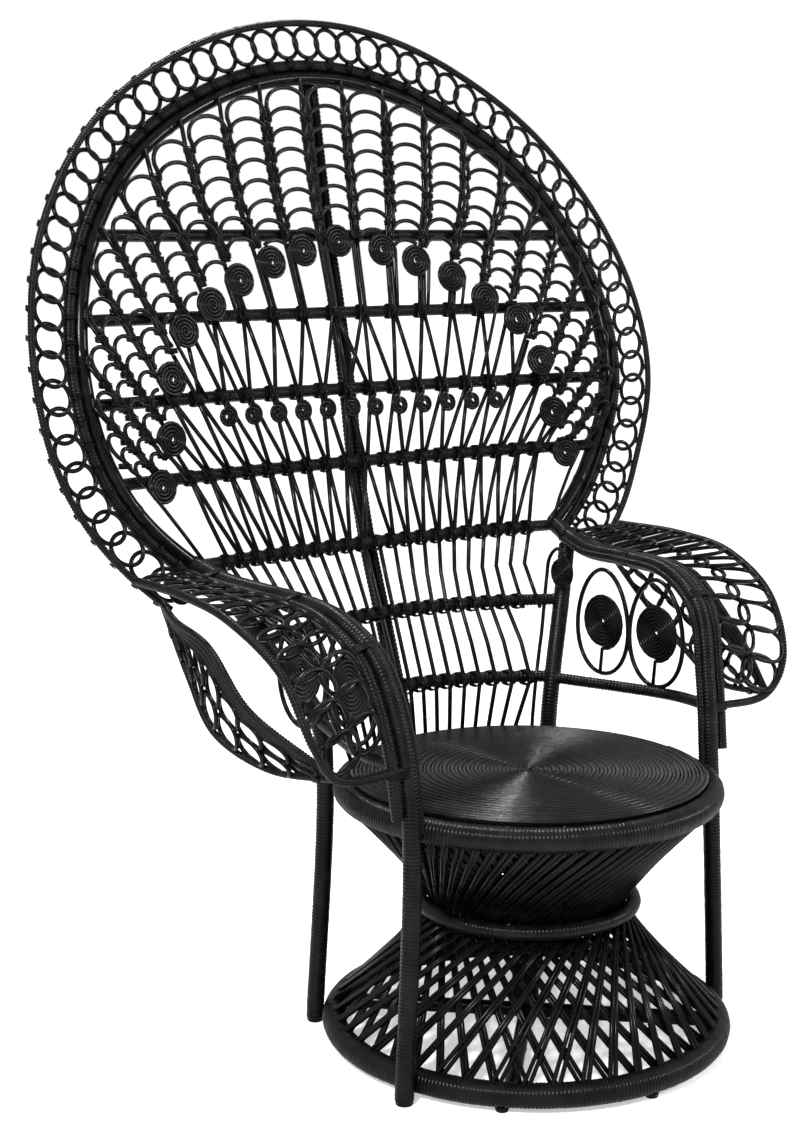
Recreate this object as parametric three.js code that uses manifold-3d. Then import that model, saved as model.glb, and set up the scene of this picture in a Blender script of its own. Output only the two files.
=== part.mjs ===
// Peacock chair of black rattan: a fan back of looped cane, curled arms and an hourglass base.
// Millimetres, +Z up. The origin is on the floor under the middle of the seat.
// The chair faces -Y. Left and right are those of someone who looks at its front.
import * as THREE from 'three';
import { mergeVertices } from 'three/addons/utils/BufferGeometryUtils.js';
import Module from 'manifold-3d';

const wasm = await Module();
wasm.setup();

// Overall sizes
const overallHeight = 1500;
const seatHeight = 400;
const seatDiscRadius = 262;
const seatDiscThickness = 9;
const seatEdgeRounding = 3;
const clearance = 0.3;

// Base: three rings, the crossed canes between them, a post and a floor cross
const rimRadius = 266;
const rimTubeRadius = 18.5;
const waistRadius = 157;
const waistTubeRadius = 11;
const waistHeight = 206;
const baseRingRadius = 284;
const baseTubeRadius = 17.8;
const footLift = 8;
const footBlockRadius = 10;
const footBlockAngles = [-137, -93].map(THREE.MathUtils.degToRad);
const centrePostRadius = 21;
const braceRadius = 11;
const cageStrands = 29;
const cageStride = 6;
const cageHop = 6;
const cageWaistDrop = 5.5;

// Legs and arms
const legRadius = 13.5;
const footLength = 14;
const frontLegAngle = THREE.MathUtils.degToRad(-18);
const rearLegAngle = THREE.MathUtils.degToRad(43);
const armSpread = 300;
const armLength = 300;
const armRise = 260;
const outerArmRadius = 9;
const wingPoleRadius = 6;
const sideEdgeRadius = 4.5;
const railRadius = 9;
const railRise = 67;
const scrollSpread = 290;
const scrollCoilRadius = 38;
const scrollLoopWidth = 61;

// Fan back
const fanCentreHeight = 986;
const fanRadius = 590;
const rimPoleRadius = 5.5;
const ringBandWidth = 49;
const outerHoopRadius = 8.5;
const innerHoopRadius = 10.5;
const barRadius = 10.5;
const spinePoleRadius = 7.5;
const borderLoops = 51;
const laceGap = 1;
const fanEndAngle = THREE.MathUtils.degToRad(-40);

// Cane of the open work: its sections are triangles, and a reach is centre to corner
const caneReach = 4;
const caneSides = 3;
const loopReach = 3.2;
const borderLoopSteps = 7;
const laceLoopSteps = 6;
const loopDepthShare = 1.65;
const coilPitch = 9.5;
const coilHeart = 5;
const archRise = 27;
const archRowPitch = 33;
const largeSpiralRadius = 26;
const smallSpiralRadius = 17;

const seatHalvings = 9;

// Finish
const lacquer = { color: 0x1a1a19, roughness: 0.42, metalness: 0 };
const wornLacquer = { color: 0x232321, roughness: 0.5, metalness: 0 };

// Solids from closed three.js geometries, and back
function toSolid(geometry) {
  const bare = geometry.index ? geometry.clone() : geometry;
  bare.deleteAttribute('normal');
  bare.deleteAttribute('uv');
  const merged = mergeVertices(bare);
  return new wasm.Manifold(new wasm.Mesh({
    numProp: 3,
    vertProperties: new Float32Array(merged.attributes.position.array),
    triVerts: new Uint32Array(merged.index.array),
  }));
}

function toGeometry(solid) {
  const mesh = solid.getMesh();
  const geometry = new THREE.BufferGeometry();
  geometry.setAttribute('position', new THREE.BufferAttribute(mesh.vertProperties, 3));
  geometry.setIndex(new THREE.BufferAttribute(mesh.triVerts, 1));
  geometry.computeVertexNormals();
  return geometry;
}

function fuse(solids) {
  if (solids.length === 1) return solids[0];
  const middle = Math.floor(solids.length / 2);
  return fuse(solids.slice(0, middle)).add(fuse(solids.slice(middle)));
}

function trim(solid, neighbours) {
  return neighbours.reduce((rest, neighbour) => rest.subtract(neighbour), solid);
}

// The last shift at which a piece is clear of its neighbours, found by halving between a shift
// that is free and one that may not be. The caller keeps the clearance.
function seatShift(make, neighbours, free, taken) {
  const meets = (shift) => {
    const piece = make(shift);
    return neighbours.some((other) => piece.intersect(other).getMesh().triVerts.length > 0);
  };
  if (!meets(taken)) return taken;
  let clear = free;
  let met = taken;
  for (let i = 0; i < seatHalvings; i++) {
    const middle = (clear + met) / 2;
    if (meets(middle)) met = middle;
    else clear = middle;
  }
  return clear + Math.sign(free - taken) * clearance;
}

// Round poles and canes: a regular section swept along a curve
function section(reach, sides) {
  const corners = [];
  for (let i = 0; i < sides; i++) {
    const angle = (2 * Math.PI * i) / sides;
    corners.push(new THREE.Vector2(reach * Math.cos(angle), reach * Math.sin(angle)));
  }
  return new THREE.Shape(corners);
}

function sweep(curve, reach, sides, steps) {
  return toSolid(new THREE.ExtrudeGeometry(section(reach, sides), {
    steps,
    bevelEnabled: false,
    extrudePath: curve,
  }));
}

function smooth(points) {
  return new THREE.CatmullRomCurve3(points, false, 'centripetal');
}

function strand(from, to, reach = caneReach, sides = caneSides) {
  return sweep(new THREE.LineCurve3(from, to), reach, sides, 1);
}

// A cane with sharp bends, mitred at each of its points
class BentRoute extends THREE.Curve {
  constructor(points) {
    super();
    this.points = points;
  }

  getPoint(t, target = new THREE.Vector3()) {
    const place = t * (this.points.length - 1);
    const i = Math.min(Math.floor(place), this.points.length - 2);
    return target.lerpVectors(this.points[i], this.points[i + 1], place - i);
  }

  getPointAt(u, target) {
    return this.getPoint(u, target);
  }

  getTangentAt(u, target = new THREE.Vector3()) {
    const i = Math.round(u * (this.points.length - 1));
    const [before, here, after] = [i - 1, i, i + 1].map((k) => (
      this.points[THREE.MathUtils.clamp(k, 0, this.points.length - 1)]));
    const onward = new THREE.Vector3().subVectors(after, here).normalize();
    return target.subVectors(here, before).normalize().add(onward).normalize();
  }
}

function bentCane(points, reach = caneReach, sides = caneSides) {
  return sweep(new BentRoute(points), reach, sides, points.length - 1);
}

function ring(radius, tube, height, tubeSides, segments) {
  const geometry = new THREE.TorusGeometry(radius, tube, tubeSides, segments);
  geometry.translate(0, 0, height);
  return toSolid(geometry);
}

function onCircle(radius, angle, height) {
  return new THREE.Vector3(radius * Math.cos(angle), radius * Math.sin(angle), height);
}

function indexes(from, to) {
  return Array.from({ length: Math.round(to - from) + 1 }, (_, i) => from + i);
}

// A value read from a table of levels, smooth between its rows
function readTable(levels, values, at) {
  const last = levels.length - 1;
  if (at <= levels[0]) return values[0];
  if (at >= levels[last]) return values[last];
  let i = 0;
  while (levels[i + 1] < at) i += 1;
  const slope = (k) => {
    const a = Math.max(k - 1, 0);
    const b = Math.min(k + 1, last);
    return (values[b] - values[a]) / (levels[b] - levels[a]);
  };
  const span = levels[i + 1] - levels[i];
  const t = (at - levels[i]) / span;
  return values[i] * (2 * t ** 3 - 3 * t ** 2 + 1)
    + values[i + 1] * (3 * t ** 2 - 2 * t ** 3)
    + slope(i) * span * (t ** 3 - 2 * t ** 2 + t)
    + slope(i + 1) * span * (t ** 3 - t ** 2);
}

// Seat and base
const tubeSides = 6;
const flatShare = Math.cos(Math.PI / tubeSides);
const rimHeight = seatHeight - seatDiscThickness - clearance - rimTubeRadius * flatShare;
const rimOuterRadius = rimRadius + rimTubeRadius;
const baseRingHeight = footLift + baseTubeRadius * flatShare;
const ringSegments = 36;
const waistSegments = 28;
const discSegments = 36;
const postSides = 10;

function seatDisc() {
  const top = seatHeight;
  const bottom = seatHeight - seatDiscThickness;
  const profile = [
    new THREE.Vector2(0, bottom),
    new THREE.Vector2(seatDiscRadius - seatEdgeRounding, bottom),
    new THREE.Vector2(seatDiscRadius, bottom + seatEdgeRounding),
    new THREE.Vector2(seatDiscRadius, top - seatEdgeRounding),
    new THREE.Vector2(seatDiscRadius - seatEdgeRounding, top),
    new THREE.Vector2(0, top),
  ];
  const lathe = new THREE.LatheGeometry(profile, discSegments);
  lathe.rotateX(Math.PI / 2);
  return lathe;
}

const seatRim = ring(rimRadius, rimTubeRadius, rimHeight, tubeSides, ringSegments);
const baseRing = ring(baseRingRadius, baseTubeRadius, baseRingHeight, tubeSides, ringSegments);
const baseRingSpace = ring(
  baseRingRadius, baseTubeRadius + clearance, baseRingHeight, tubeSides, ringSegments,
);
const waistRing = ring(waistRadius, waistTubeRadius, waistHeight, tubeSides, waistSegments);

// One cane that goes down outside, hops in, climbs inside with the other slant and hops out,
// with a stride that leads it round the whole cage before it meets its start
function cage(start, end) {
  const points = [];
  const stride = (2 * Math.PI * cageStride) / cageStrands;
  for (let i = 0; i < cageStrands; i++) {
    const angle = i * stride;
    points.push(onCircle(start.radius + cageHop, angle, start.height));
    points.push(onCircle(end.radius + cageHop, angle + stride / 2, end.height));
    points.push(onCircle(end.radius - cageHop, angle + stride / 2, end.height));
    points.push(onCircle(start.radius - cageHop, angle + stride, start.height));
  }
  return bentCane(points);
}

// Each cage is pressed against its big ring, and then outwards against the waist ring
function seatedCage(ring, ringRadius, ringFace, drop) {
  const waistInside = waistRadius - waistTubeRadius - cageHop;
  const away = Math.sign(waistHeight - ringFace);
  const make = (gap, inset) => cage(
    { radius: ringRadius, height: ringFace + away * gap },
    { radius: waistInside - inset, height: waistHeight - away * drop },
  );
  const gap = seatShift((shift) => make(shift, 2 * caneReach), [ring], 2 * caneReach, 0);
  const inset = seatShift((shift) => make(gap, shift), [waistRing], 2 * caneReach, 0);
  return make(gap, inset);
}

const rimUnderside = rimHeight - rimTubeRadius * flatShare;
const baseRingTop = baseRingHeight + baseTubeRadius * flatShare;
const upperCage = seatedCage(seatRim, rimRadius, rimUnderside, cageWaistDrop);
const lowerCage = seatedCage(baseRing, baseRingRadius, baseRingTop, cageWaistDrop);

// Two poles halved into each other cross inside the base ring. The seat's post stands on them.
const crossAngle = Math.PI / 4;
const lowerCrossHeight = footLift + braceRadius;
const upperCrossHeight = lowerCrossHeight + braceRadius;

function crossPole(height, angle) {
  const from = onCircle(baseRingRadius, angle, height);
  const to = onCircle(baseRingRadius, angle + Math.PI, height);
  return strand(from, to, braceRadius, tubeSides);
}

const floorCross = trim(
  crossPole(lowerCrossHeight, crossAngle).add(crossPole(upperCrossHeight, -crossAngle)),
  [baseRingSpace],
);
const centrePostFoot = upperCrossHeight + braceRadius + clearance;
const centrePostTop = seatHeight - seatDiscThickness - clearance;

function standingCylinder(radius, bottom, top, sides) {
  const geometry = new THREE.CylinderGeometry(radius, radius, top - bottom, sides);
  geometry.rotateX(Math.PI / 2);
  geometry.translate(0, 0, (top + bottom) / 2);
  return geometry;
}

// Fan back: where its surface lies. It leans back with height and bows forward at its sides.
// Levels are shares of the overall height, depths and bow radii are shares of the disc's radius.
const leanLevelShares = [0.26, 0.31, 0.39, 0.46, 0.54, 0.62, 0.7, 0.775, 0.87, 0.93, 1.01];
const leanDepthShares = [1.034, 1.076, 1.24, 1.39, 1.51, 1.585, 1.69, 1.8, 1.905, 1.942, 1.955];
const bowLevelShares = [0.27, 0.31, 0.387, 0.427, 0.462, 0.54, 0.9];
const bowRadiusShares = [1.06, 1.09, 1.91, 5.8, 7.3, 9.5, 9.5];

function bowRadius(z) {
  return seatDiscRadius * readTable(bowLevelShares, bowRadiusShares, z / overallHeight);
}

function fanPoint(x, z, behind = 0) {
  const lean = seatDiscRadius * readTable(leanLevelShares, leanDepthShares, z / overallHeight);
  return new THREE.Vector3(x, lean - x ** 2 / (2 * bowRadius(z)) + behind, z);
}

// A place behind the surface, square to its slope
function backPoint(x, z, depth) {
  const rise = fanPoint(x, z + barRadius).y - fanPoint(x, z - barRadius).y;
  return fanPoint(x, z, depth * Math.hypot(1, rise / (2 * barRadius)));
}

// Its round outline: the outside of the rim as shares of the fan's radius, by angle
const outlineAngles = [-60, -40, -25, -8, 12, 35, 60, 90, 120];
const outlineRadiusShares = [0.87, 0.929, 0.975, 1, 0.986, 0.941, 0.888, 0.871, 0.888];

function outlinePoint(angle, inward, behind = 0) {
  const side = Math.cos(angle) < 0 ? -1 : 1;
  const folded = THREE.MathUtils.radToDeg(Math.asin(Math.sin(angle)));
  const share = readTable(outlineAngles, outlineRadiusShares, folded);
  const radius = fanRadius * share - inward;
  const x = side * radius * Math.abs(Math.cos(angle));
  return fanPoint(x, fanCentreHeight + radius * Math.sin(angle), behind);
}

// A curve round the outline at a set distance inside it
class OutlineCurve extends THREE.Curve {
  constructor(inward, behind, from, to) {
    super();
    Object.assign(this, { inward, behind, from, to });
  }

  getPoint(t, target = new THREE.Vector3()) {
    const angle = THREE.MathUtils.lerp(this.from, this.to, t);
    return target.copy(outlinePoint(angle, this.inward, this.behind));
  }
}

// The poles lie one layer behind the lace, so that the lace rests on their fronts
const poleLayer = caneReach + laceGap + barRadius;
const rimInward = rimPoleRadius;
const bandInward = 2 * rimPoleRadius + laceGap + ringBandWidth / 2;
const outerHoopInward = 2 * rimPoleRadius + ringBandWidth + 2 * laceGap + outerHoopRadius;
const innerHoopInward = outerHoopInward + outerHoopRadius + clearance + innerHoopRadius;
const hoopSteps = 36;
const poleSides = 6;
const rimPoleSides = 5;

function hoop(inward, radius, sides, margin) {
  const turn = margin / fanRadius;
  const curve = new OutlineCurve(
    inward, poleLayer, fanEndAngle - turn, Math.PI - fanEndAngle + turn,
  );
  return sweep(curve, radius + margin, sides, hoopSteps);
}

const innerHoop = hoop(innerHoopInward, innerHoopRadius, poleSides, 0);
const innerHoopSpace = hoop(innerHoopInward, innerHoopRadius, poleSides, clearance);
const outerHoop = hoop(outerHoopInward, outerHoopRadius, poleSides, 0);
const outerHoopSpace = hoop(outerHoopInward, outerHoopRadius, poleSides, clearance);
const rimPole = hoop(rimInward, rimPoleRadius, rimPoleSides, 0);
const rimPoleSpace = hoop(rimInward, rimPoleRadius, rimPoleSides, clearance);

// Half the width of the fan at a height, measured to the middle of the inner hoop
const hoopSamples = new OutlineCurve(innerHoopInward, 0, fanEndAngle, Math.PI / 2).getPoints(120);

function halfWidthAt(z) {
  if (z <= hoopSamples[0].z) return hoopSamples[0].x;
  const i = hoopSamples.findIndex((point) => point.z > z);
  if (i < 0) return 0;
  const t = (z - hoopSamples[i - 1].z) / (hoopSamples[i].z - hoopSamples[i - 1].z);
  return THREE.MathUtils.lerp(hoopSamples[i - 1].x, hoopSamples[i].x, t);
}

// Legs and arms. Each front leg is one pole with its arm, which comes out of the inner hoop.
// Places on an arm are shares of its spread, of its length to the back and of its rise.
const legRimDistance = rimOuterRadius + clearance + legRadius;
const legFootDistance = baseRingRadius + baseTubeRadius + clearance + legRadius;
const armPoleShares = [
  [1.12, 0.95, 1.05], [1.045, 0.7, 1.015], [1.04, 0.4, 1.01], [1.047, 0.12, 0.975],
  [1.015, -0.13, 0.8], [0.965, -0.25, 0.42],
];
const wingPoleShares = [
  [1.573, 0.567, 1.085], [1.573, 0.197, 1.023], [1.527, -0.15, 0.804], [1.467, -0.3, 0.462],
  [1.35, -0.305, 0.277],
];
const wingEndShares = [0.95, -0.29, 0.254];
const postShares = [[0.763, 0.687, 0.258], [0.967, 0.85, 0.692]];
const postEndShares = [1.105, 0.965, 1.01];
const sideOuterShares = [[1.477, 0.707, 0.615], [1.507, 0.437, 0.369], [1.433, 0.123, 0.242]];
const sideInnerShares = [[1.51, 0.75, 0.87], [1.54, 0.467, 0.77], [1.517, 0.133, 0.5]];
const wingStartAngle = THREE.MathUtils.degToRad(-33);
const sideStartAngle = THREE.MathUtils.degToRad(-38);
const armSteps = 21;
const outerSteps = 13;
const rearSteps = 12;
const wingSteps = 15;
const wingSides = 5;
const outerArmSpacing = legRadius + outerArmRadius + laceGap;

function armPlace([across, along, rise], side) {
  return new THREE.Vector3(
    side * across * armSpread, along * armLength, seatHeight + rise * armRise,
  );
}

function sided(point, side) {
  return new THREE.Vector3(side * point.x, point.y, point.z);
}

function pole(points, radius, steps, sides = poleSides) {
  return sweep(smooth(points), radius, sides, steps);
}

function makeArm(side) {
  const place = (shares) => armPlace(shares, side);
  const start = sided(outlinePoint(fanEndAngle, innerHoopInward, poleLayer), side);
  const outerStart = sided(outlinePoint(fanEndAngle, outerHoopInward, poleLayer), side);
  const legRim = sided(onCircle(legRimDistance, frontLegAngle, rimHeight), side);
  const legAnkle = sided(onCircle(legFootDistance, frontLegAngle, footLength), side);
  const legFoot = sided(onCircle(legFootDistance, frontLegAngle, 0), side);
  const rearRim = sided(onCircle(legRimDistance, rearLegAngle, rimHeight), side);
  const rearAnkle = sided(onCircle(legFootDistance, rearLegAngle, footLength), side);
  const rearFoot = sided(onCircle(legFootDistance, rearLegAngle, 0), side);
  const armRoute = [start, ...armPoleShares.map(place), legRim, legAnkle, legFoot];
  const shift = new THREE.Vector3(side * outerArmSpacing, 0, 0);
  const outerRoute = [outerStart, ...armPoleShares.map(place).map((point) => point.add(shift))];
  outerRoute.push(legRim.clone().add(shift).setZ(seatHeight));
  const arm = trim(pole(armRoute, legRadius, armSteps), [innerHoopSpace]);
  const armSpace = pole(armRoute, legRadius + clearance, armSteps);
  const outerArm = trim(
    pole(outerRoute, outerArmRadius, outerSteps), [armSpace, outerHoopSpace, innerHoopSpace],
  );
  const outerArmSpace = pole(outerRoute, outerArmRadius + clearance, outerSteps);
  const rearRoute = [rearFoot, rearAnkle, rearRim, ...postShares.map(place), place(postEndShares)];
  const rearLeg = trim(pole(rearRoute, legRadius, rearSteps), [armSpace, innerHoopSpace]);
  const rearLegSpace = pole(rearRoute, legRadius + clearance, rearSteps);

  // The wing: its outer pole, and two rows of rings between it and the arm
  const wingForward = poleLayer - rimPoleRadius - wingPoleRadius - laceGap;
  const wingStart = sided(outlinePoint(wingStartAngle, rimInward, wingForward), side);
  const wingTop = [wingStart, ...wingPoleShares.map(place)];
  const wingRoute = [...wingTop, place(wingEndShares)];
  const wingPole = trim(
    pole(wingRoute, wingPoleRadius, wingSteps, wingSides),
    [armSpace, outerArmSpace, rimPoleSpace],
  );
  const wingPoleSpace = pole(wingRoute, wingPoleRadius + clearance, wingSteps, wingSides);
  return {
    side, place, start, arm, armSpace, outerArm, outerArmSpace, rearLeg, rearLegSpace,
    wingPole, wingPoleSpace, wingTop, outerRoute,
  };
}

const arms = [makeArm(-1), makeArm(1)];

// Least gap of a cane to itself, from points along it more than a few sections apart
const selfGaps = [];

function noteSelfGap(name, points, reach) {
  const spaced = new BentRoute(points).getPoints(3 * (points.length - 1));
  const run = [0];
  for (let i = 1; i < spaced.length; i++) run.push(run[i - 1] + spaced[i].distanceTo(spaced[i - 1]));
  let least = Infinity;
  for (let i = 0; i < spaced.length; i++) {
    for (let j = i + 1; j < spaced.length; j++) {
      const gap = spaced[i].distanceTo(spaced[j]) - 2 * reach;
      if (run[j] - run[i] > 3 * Math.PI * reach && gap < least) least = gap;
    }
  }
  selfGaps.push(`${name}: ${least.toFixed(2)}`);
}

// A cane that loops along the band between two curves like a row of linked rings.
// Each loop's leading side lies before the trailing side of the next one.
function loopedCane(curveA, curveB, loops, loopSteps, from, to) {
  const reach = loopReach;
  const points = [];
  const count = loops * loopSteps;
  for (let i = 0; i <= count; i++) {
    const t = THREE.MathUtils.lerp(from, to, i / count);
    const angle = (2 * Math.PI * i) / loopSteps;
    const a = curveA.getPointAt(t);
    const b = curveB.getPointAt(t);
    const across = new THREE.Vector3().subVectors(b, a);
    const along = curveA.getTangentAt(t);
    const front = new THREE.Vector3().crossVectors(along, across).normalize();
    const radius = across.length() / 2 - reach;
    points.push(new THREE.Vector3().lerpVectors(a, b, 0.5)
      .addScaledVector(across.normalize(), radius * Math.sin(angle))
      .addScaledVector(along, radius * Math.cos(angle))
      .addScaledVector(front, loopDepthShare * reach * Math.cos(angle)));
  }
  return points;
}

function fanBand(inward) {
  return new OutlineCurve(inward, poleLayer, fanEndAngle, Math.PI - fanEndAngle);
}

const borderEndShare = 0.01;
const borderOutward = 2 * rimPoleRadius;

function borderPoints(outerPlay, innerPlay) {
  return loopedCane(
    fanBand(borderOutward + outerPlay), fanBand(borderOutward + ringBandWidth - innerPlay),
    borderLoops, borderLoopSteps, borderEndShare, 1 - borderEndShare,
  );
}

// The loops are as wide as the room between the rim pole and the outer hoop
function seatedBorder() {
  const make = (outerPlay, innerPlay) => bentCane(borderPoints(outerPlay, innerPlay), loopReach);
  const room = 2 * rimPoleRadius;
  const outer = seatShift((shift) => make(shift, room), [rimPole], room, -loopReach);
  const inner = seatShift((shift) => make(outer, shift), [outerHoop], room, -loopReach);
  noteSelfGap('ring_border', borderPoints(outer, inner), loopReach);
  return make(outer, inner);
}

class BetweenCurve extends THREE.Curve {
  constructor(curveA, curveB, share) {
    super();
    Object.assign(this, { curveA, curveB, share });
  }

  getPoint(t, target = new THREE.Vector3()) {
    return target.lerpVectors(this.curveA.getPointAt(t), this.curveB.getPointAt(t), this.share);
  }
}

const rowGapShare = 0.01;

// Two rows of loops in one cane: out along one row, back along the other and over to its tie
function doubleLoops(name, band, loops, tie) {
  const { inner, outer, fromShare, toShare, innerEdgeShare, outerEdgeShare } = band;
  const rows = [
    [innerEdgeShare, 1 / 2 - rowGapShare], [1 / 2 + rowGapShare, 1 - outerEdgeShare],
  ].map(([near, far]) => loopedCane(
    new BetweenCurve(inner, outer, near), new BetweenCurve(inner, outer, far),
    loops, laceLoopSteps, fromShare, toShare,
  ));
  const points = [...rows[0], ...rows[1].reverse(), tie];
  noteSelfGap(name, points, loopReach);
  return bentCane(points, loopReach);
}

// Each arm's outer side: a leaf of two edge poles with looped cane between them
function makeSide(arm) {
  const { side, place } = arm;
  const start = sided(outlinePoint(sideStartAngle, rimInward, poleLayer - rimPoleRadius), side);
  const end = place(wingPoleShares[wingPoleShares.length - 1]);
  const outer = smooth([start, ...sideOuterShares.map(place), end]);
  const inner = smooth([start, ...sideInnerShares.map(place), end]);
  return { outer, inner };
}

const edgeSides = 5;
const edgeSteps = 9;
const wingLoopRows = 7;
const sideLoopRows = 6;
const wingBandShares = {
  fromShare: 0.03, toShare: 0.97, innerEdgeShare: 0.13, outerEdgeShare: 0.1, tieShare: 0.02,
};
const sideBandShares = {
  fromShare: 0.14, toShare: 0.84, innerEdgeShare: 0.1, outerEdgeShare: 0.1, tieShare: 0.04,
};

// The wing beside each arm: its pole and the looped cane between that pole and the arm
function makeWing(arm, hand) {
  const band = {
    inner: smooth(arm.outerRoute.slice(0, -1)), outer: smooth(arm.wingTop), ...wingBandShares,
  };
  const tie = band.outer.getPointAt(band.tieShare);
  const loops = doubleLoops(`wing_${hand}`, band, wingLoopRows, tie);
  return trim(arm.wingPole.add(loops), [rimPoleSpace, arm.outerArmSpace]);
}

function makeSideLeaf(arm, hand) {
  const { outer, inner } = makeSide(arm);
  const band = { inner: outer, outer: inner, ...sideBandShares };
  const tie = inner.getPointAt(band.tieShare);
  const edges = [outer, inner].map((edge) => sweep(edge, sideEdgeRadius, edgeSides, edgeSteps));
  const leaf = fuse([...edges, doubleLoops(`side_leaf_${hand}`, band, sideLoopRows, tie)]);
  return trim(leaf, [arm.wingPoleSpace, rimPoleSpace]);
}

// Bars, spine and side rails
const barSteps = 8;

function barHalfWidth(index) {
  const level = barHeights[index];
  const poleMiddle = index < postShares.length ? postShares[index][0] * armSpread : halfWidthAt(level);
  return poleMiddle - barRadius / 2;
}

// Straight stretches of a bowed bar stand out in front of its curve, so they lie that much back
function barDepth(index) {
  const stretch = (2 * barHalfWidth(index)) / barSteps;
  return poleLayer + stretch ** 2 / (8 * bowRadius(barHeights[index]));
}

const legSpaces = arms.flatMap((arm) => [arm.armSpace, arm.rearLegSpace]);

function barCane(index, forward) {
  const halfWidth = barHalfWidth(index);
  return bentCane(indexes(0, barSteps).map((i) => {
    const x = THREE.MathUtils.lerp(-halfWidth, halfWidth, i / barSteps);
    return backPoint(x, barHeights[index], barDepth(index) - forward);
  }), barRadius, poleSides);
}

const spineSteps = 12;
const spineSides = 5;
const spineBehindBar = barRadius + spinePoleRadius;

function spinePole(side, backward) {
  const x = side * (spinePoleRadius + clearance);
  const foot = rimOuterRadius + clearance + spinePoleRadius;
  const top = outlinePoint(Math.PI / 2, outerHoopInward).z;
  const topDepth = poleLayer + innerHoopRadius + spineBehindBar;
  const route = [
    new THREE.Vector3(x, foot, rimHeight - rimTubeRadius),
    new THREE.Vector3(x, foot, seatHeight),
    ...barHeights.map((z, i) => backPoint(x, z, barDepth(i) + spineBehindBar + backward)),
    fanPoint(x, top, topDepth + backward),
  ];
  return pole(route, spinePoleRadius, spineSteps, spineSides);
}

const railSteps = 6;

function makeRail(arm) {
  const { side, place } = arm;
  const z = seatHeight + railRise;
  const front = place([armPoleShares[5][0], armPoleShares[5][1], 0]).setZ(z);
  const rear = place(postShares[0]).setZ(z);
  const middle = new THREE.Vector3(side * (rimOuterRadius + railRadius), 0, z);
  return trim(pole([front, middle, rear], railRadius, railSteps), [arm.armSpace, arm.rearLegSpace]);
}

// The scrolls between each arm and its rail: twice a coil in an upright loop
const scrollAlongShares = [0.12, 0.52];
const scrollSteps = 7;
const scrollLoopSteps = 12;

function flatCoil(centre, towardEnd, across, radius, perTurn) {
  const x = towardEnd.clone().normalize();
  const y = across.clone().normalize();
  const turns = (radius - coilHeart) / coilPitch;
  const count = Math.round(turns * perTurn);
  const points = [];
  for (let i = 0; i <= count; i++) {
    const angle = 2 * Math.PI * turns * (i / count - 1);
    const r = THREE.MathUtils.lerp(coilHeart, radius, i / count);
    points.push(centre.clone()
      .addScaledVector(x, r * Math.cos(angle))
      .addScaledVector(y, r * Math.sin(angle)));
  }
  return points;
}

function makeScrolls(arm) {
  const { side } = arm;
  const bottom = seatHeight + railRise + railRadius / 2;
  const top = seatHeight + armRise - legRadius - laceGap;
  const high = (top - bottom) / 2 - loopReach;
  const up = new THREE.Vector3(0, 0, 1);
  const along = new THREE.Vector3(0, 1, 0);
  const solids = [makeRail(arm)];
  for (const share of scrollAlongShares) {
    const centre = new THREE.Vector3(side * scrollSpread, share * armLength, (top + bottom) / 2);
    const coil = flatCoil(centre, up.clone().negate(), along, scrollCoilRadius - loopReach, scrollSteps);
    const tail = new THREE.Vector3(centre.x, centre.y, centre.z - high);
    solids.push(bentCane([...coil, tail], loopReach));
    const loop = new THREE.TorusGeometry(1, loopReach / high, caneSides, scrollLoopSteps);
    const turn = new THREE.Matrix4().makeBasis(
      along.clone().multiplyScalar(scrollLoopWidth - loopReach),
      up.clone().multiplyScalar(high),
      new THREE.Vector3(high, 0, 0),
    );
    loop.applyMatrix4(turn.setPosition(centre));
    solids.push(toSolid(loop));
  }
  return fuse(solids);
}

// Lace levels and the spacing of its stakes there, as shares of the overall height and the fan
const barLevelShares = [0.312, 0.387, 0.458, 0.542, 0.618, 0.697, 0.777];
const stakeLevelShares = [0.26, 0.312, 0.387, 0.458, 0.542, 0.618, 0.697, 0.777, 0.806, 0.93];
const stakePitchShares = [0.0366, 0.0407, 0.0415, 0.0497, 0.063, 0.0803, 0.097, 0.112, 0.122, 0.134];
const barHeights = barLevelShares.map((share) => share * overallHeight);
const [bar7Height, bar6Height, bar5Height, bar4Height, bar3Height, bar2Height] = barHeights;

function stakePlace(index, z, behind = 0) {
  const pitch = fanRadius * readTable(stakeLevelShares, stakePitchShares, z / overallHeight);
  return fanPoint(index * pitch, z, behind);
}

// The arch of large spirals, as shares of the fan's radius from its centre
const spiralAcrossShares = [0, 0.13, 0.236, 0.347, 0.446, 0.544, 0.603, 0.625, 0.663];
const spiralUpShares = [0.288, 0.264, 0.234, 0.19, 0.131, 0.068, -0.047, -0.192, -0.307];

function spiralArchHeight(x) {
  const share = Math.abs(x) / fanRadius;
  return fanCentreHeight + fanRadius * readTable(spiralAcrossShares, spiralUpShares, share);
}

const insideArch = (point) => point.z < spiralArchHeight(point.x);
const insideHoop = (point) => Math.abs(point.x) < halfWidthAt(point.z);

// Where a line of the lace leaves a region, found by halving
function crossing(inside, outside, test) {
  const a = inside.clone();
  const b = outside.clone();
  for (let i = 0; i < 20; i++) {
    const middle = new THREE.Vector3().lerpVectors(a, b, 0.5);
    (test(middle) ? a : b).copy(middle);
  }
  return a;
}

// Stakes from the seat's edge to the fifth bar: one cane that turns over at each end
const stakeSeatRadius = seatDiscRadius + 2 * caneReach + laceGap;
const stakeFootHeight = rimHeight + rimTubeRadius + laceGap + caneReach;
const seatStakes = 8;
const postStakes = 10;
const apexGap = caneReach + clearance;
const apexTurn = 1.3 * caneReach;

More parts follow.
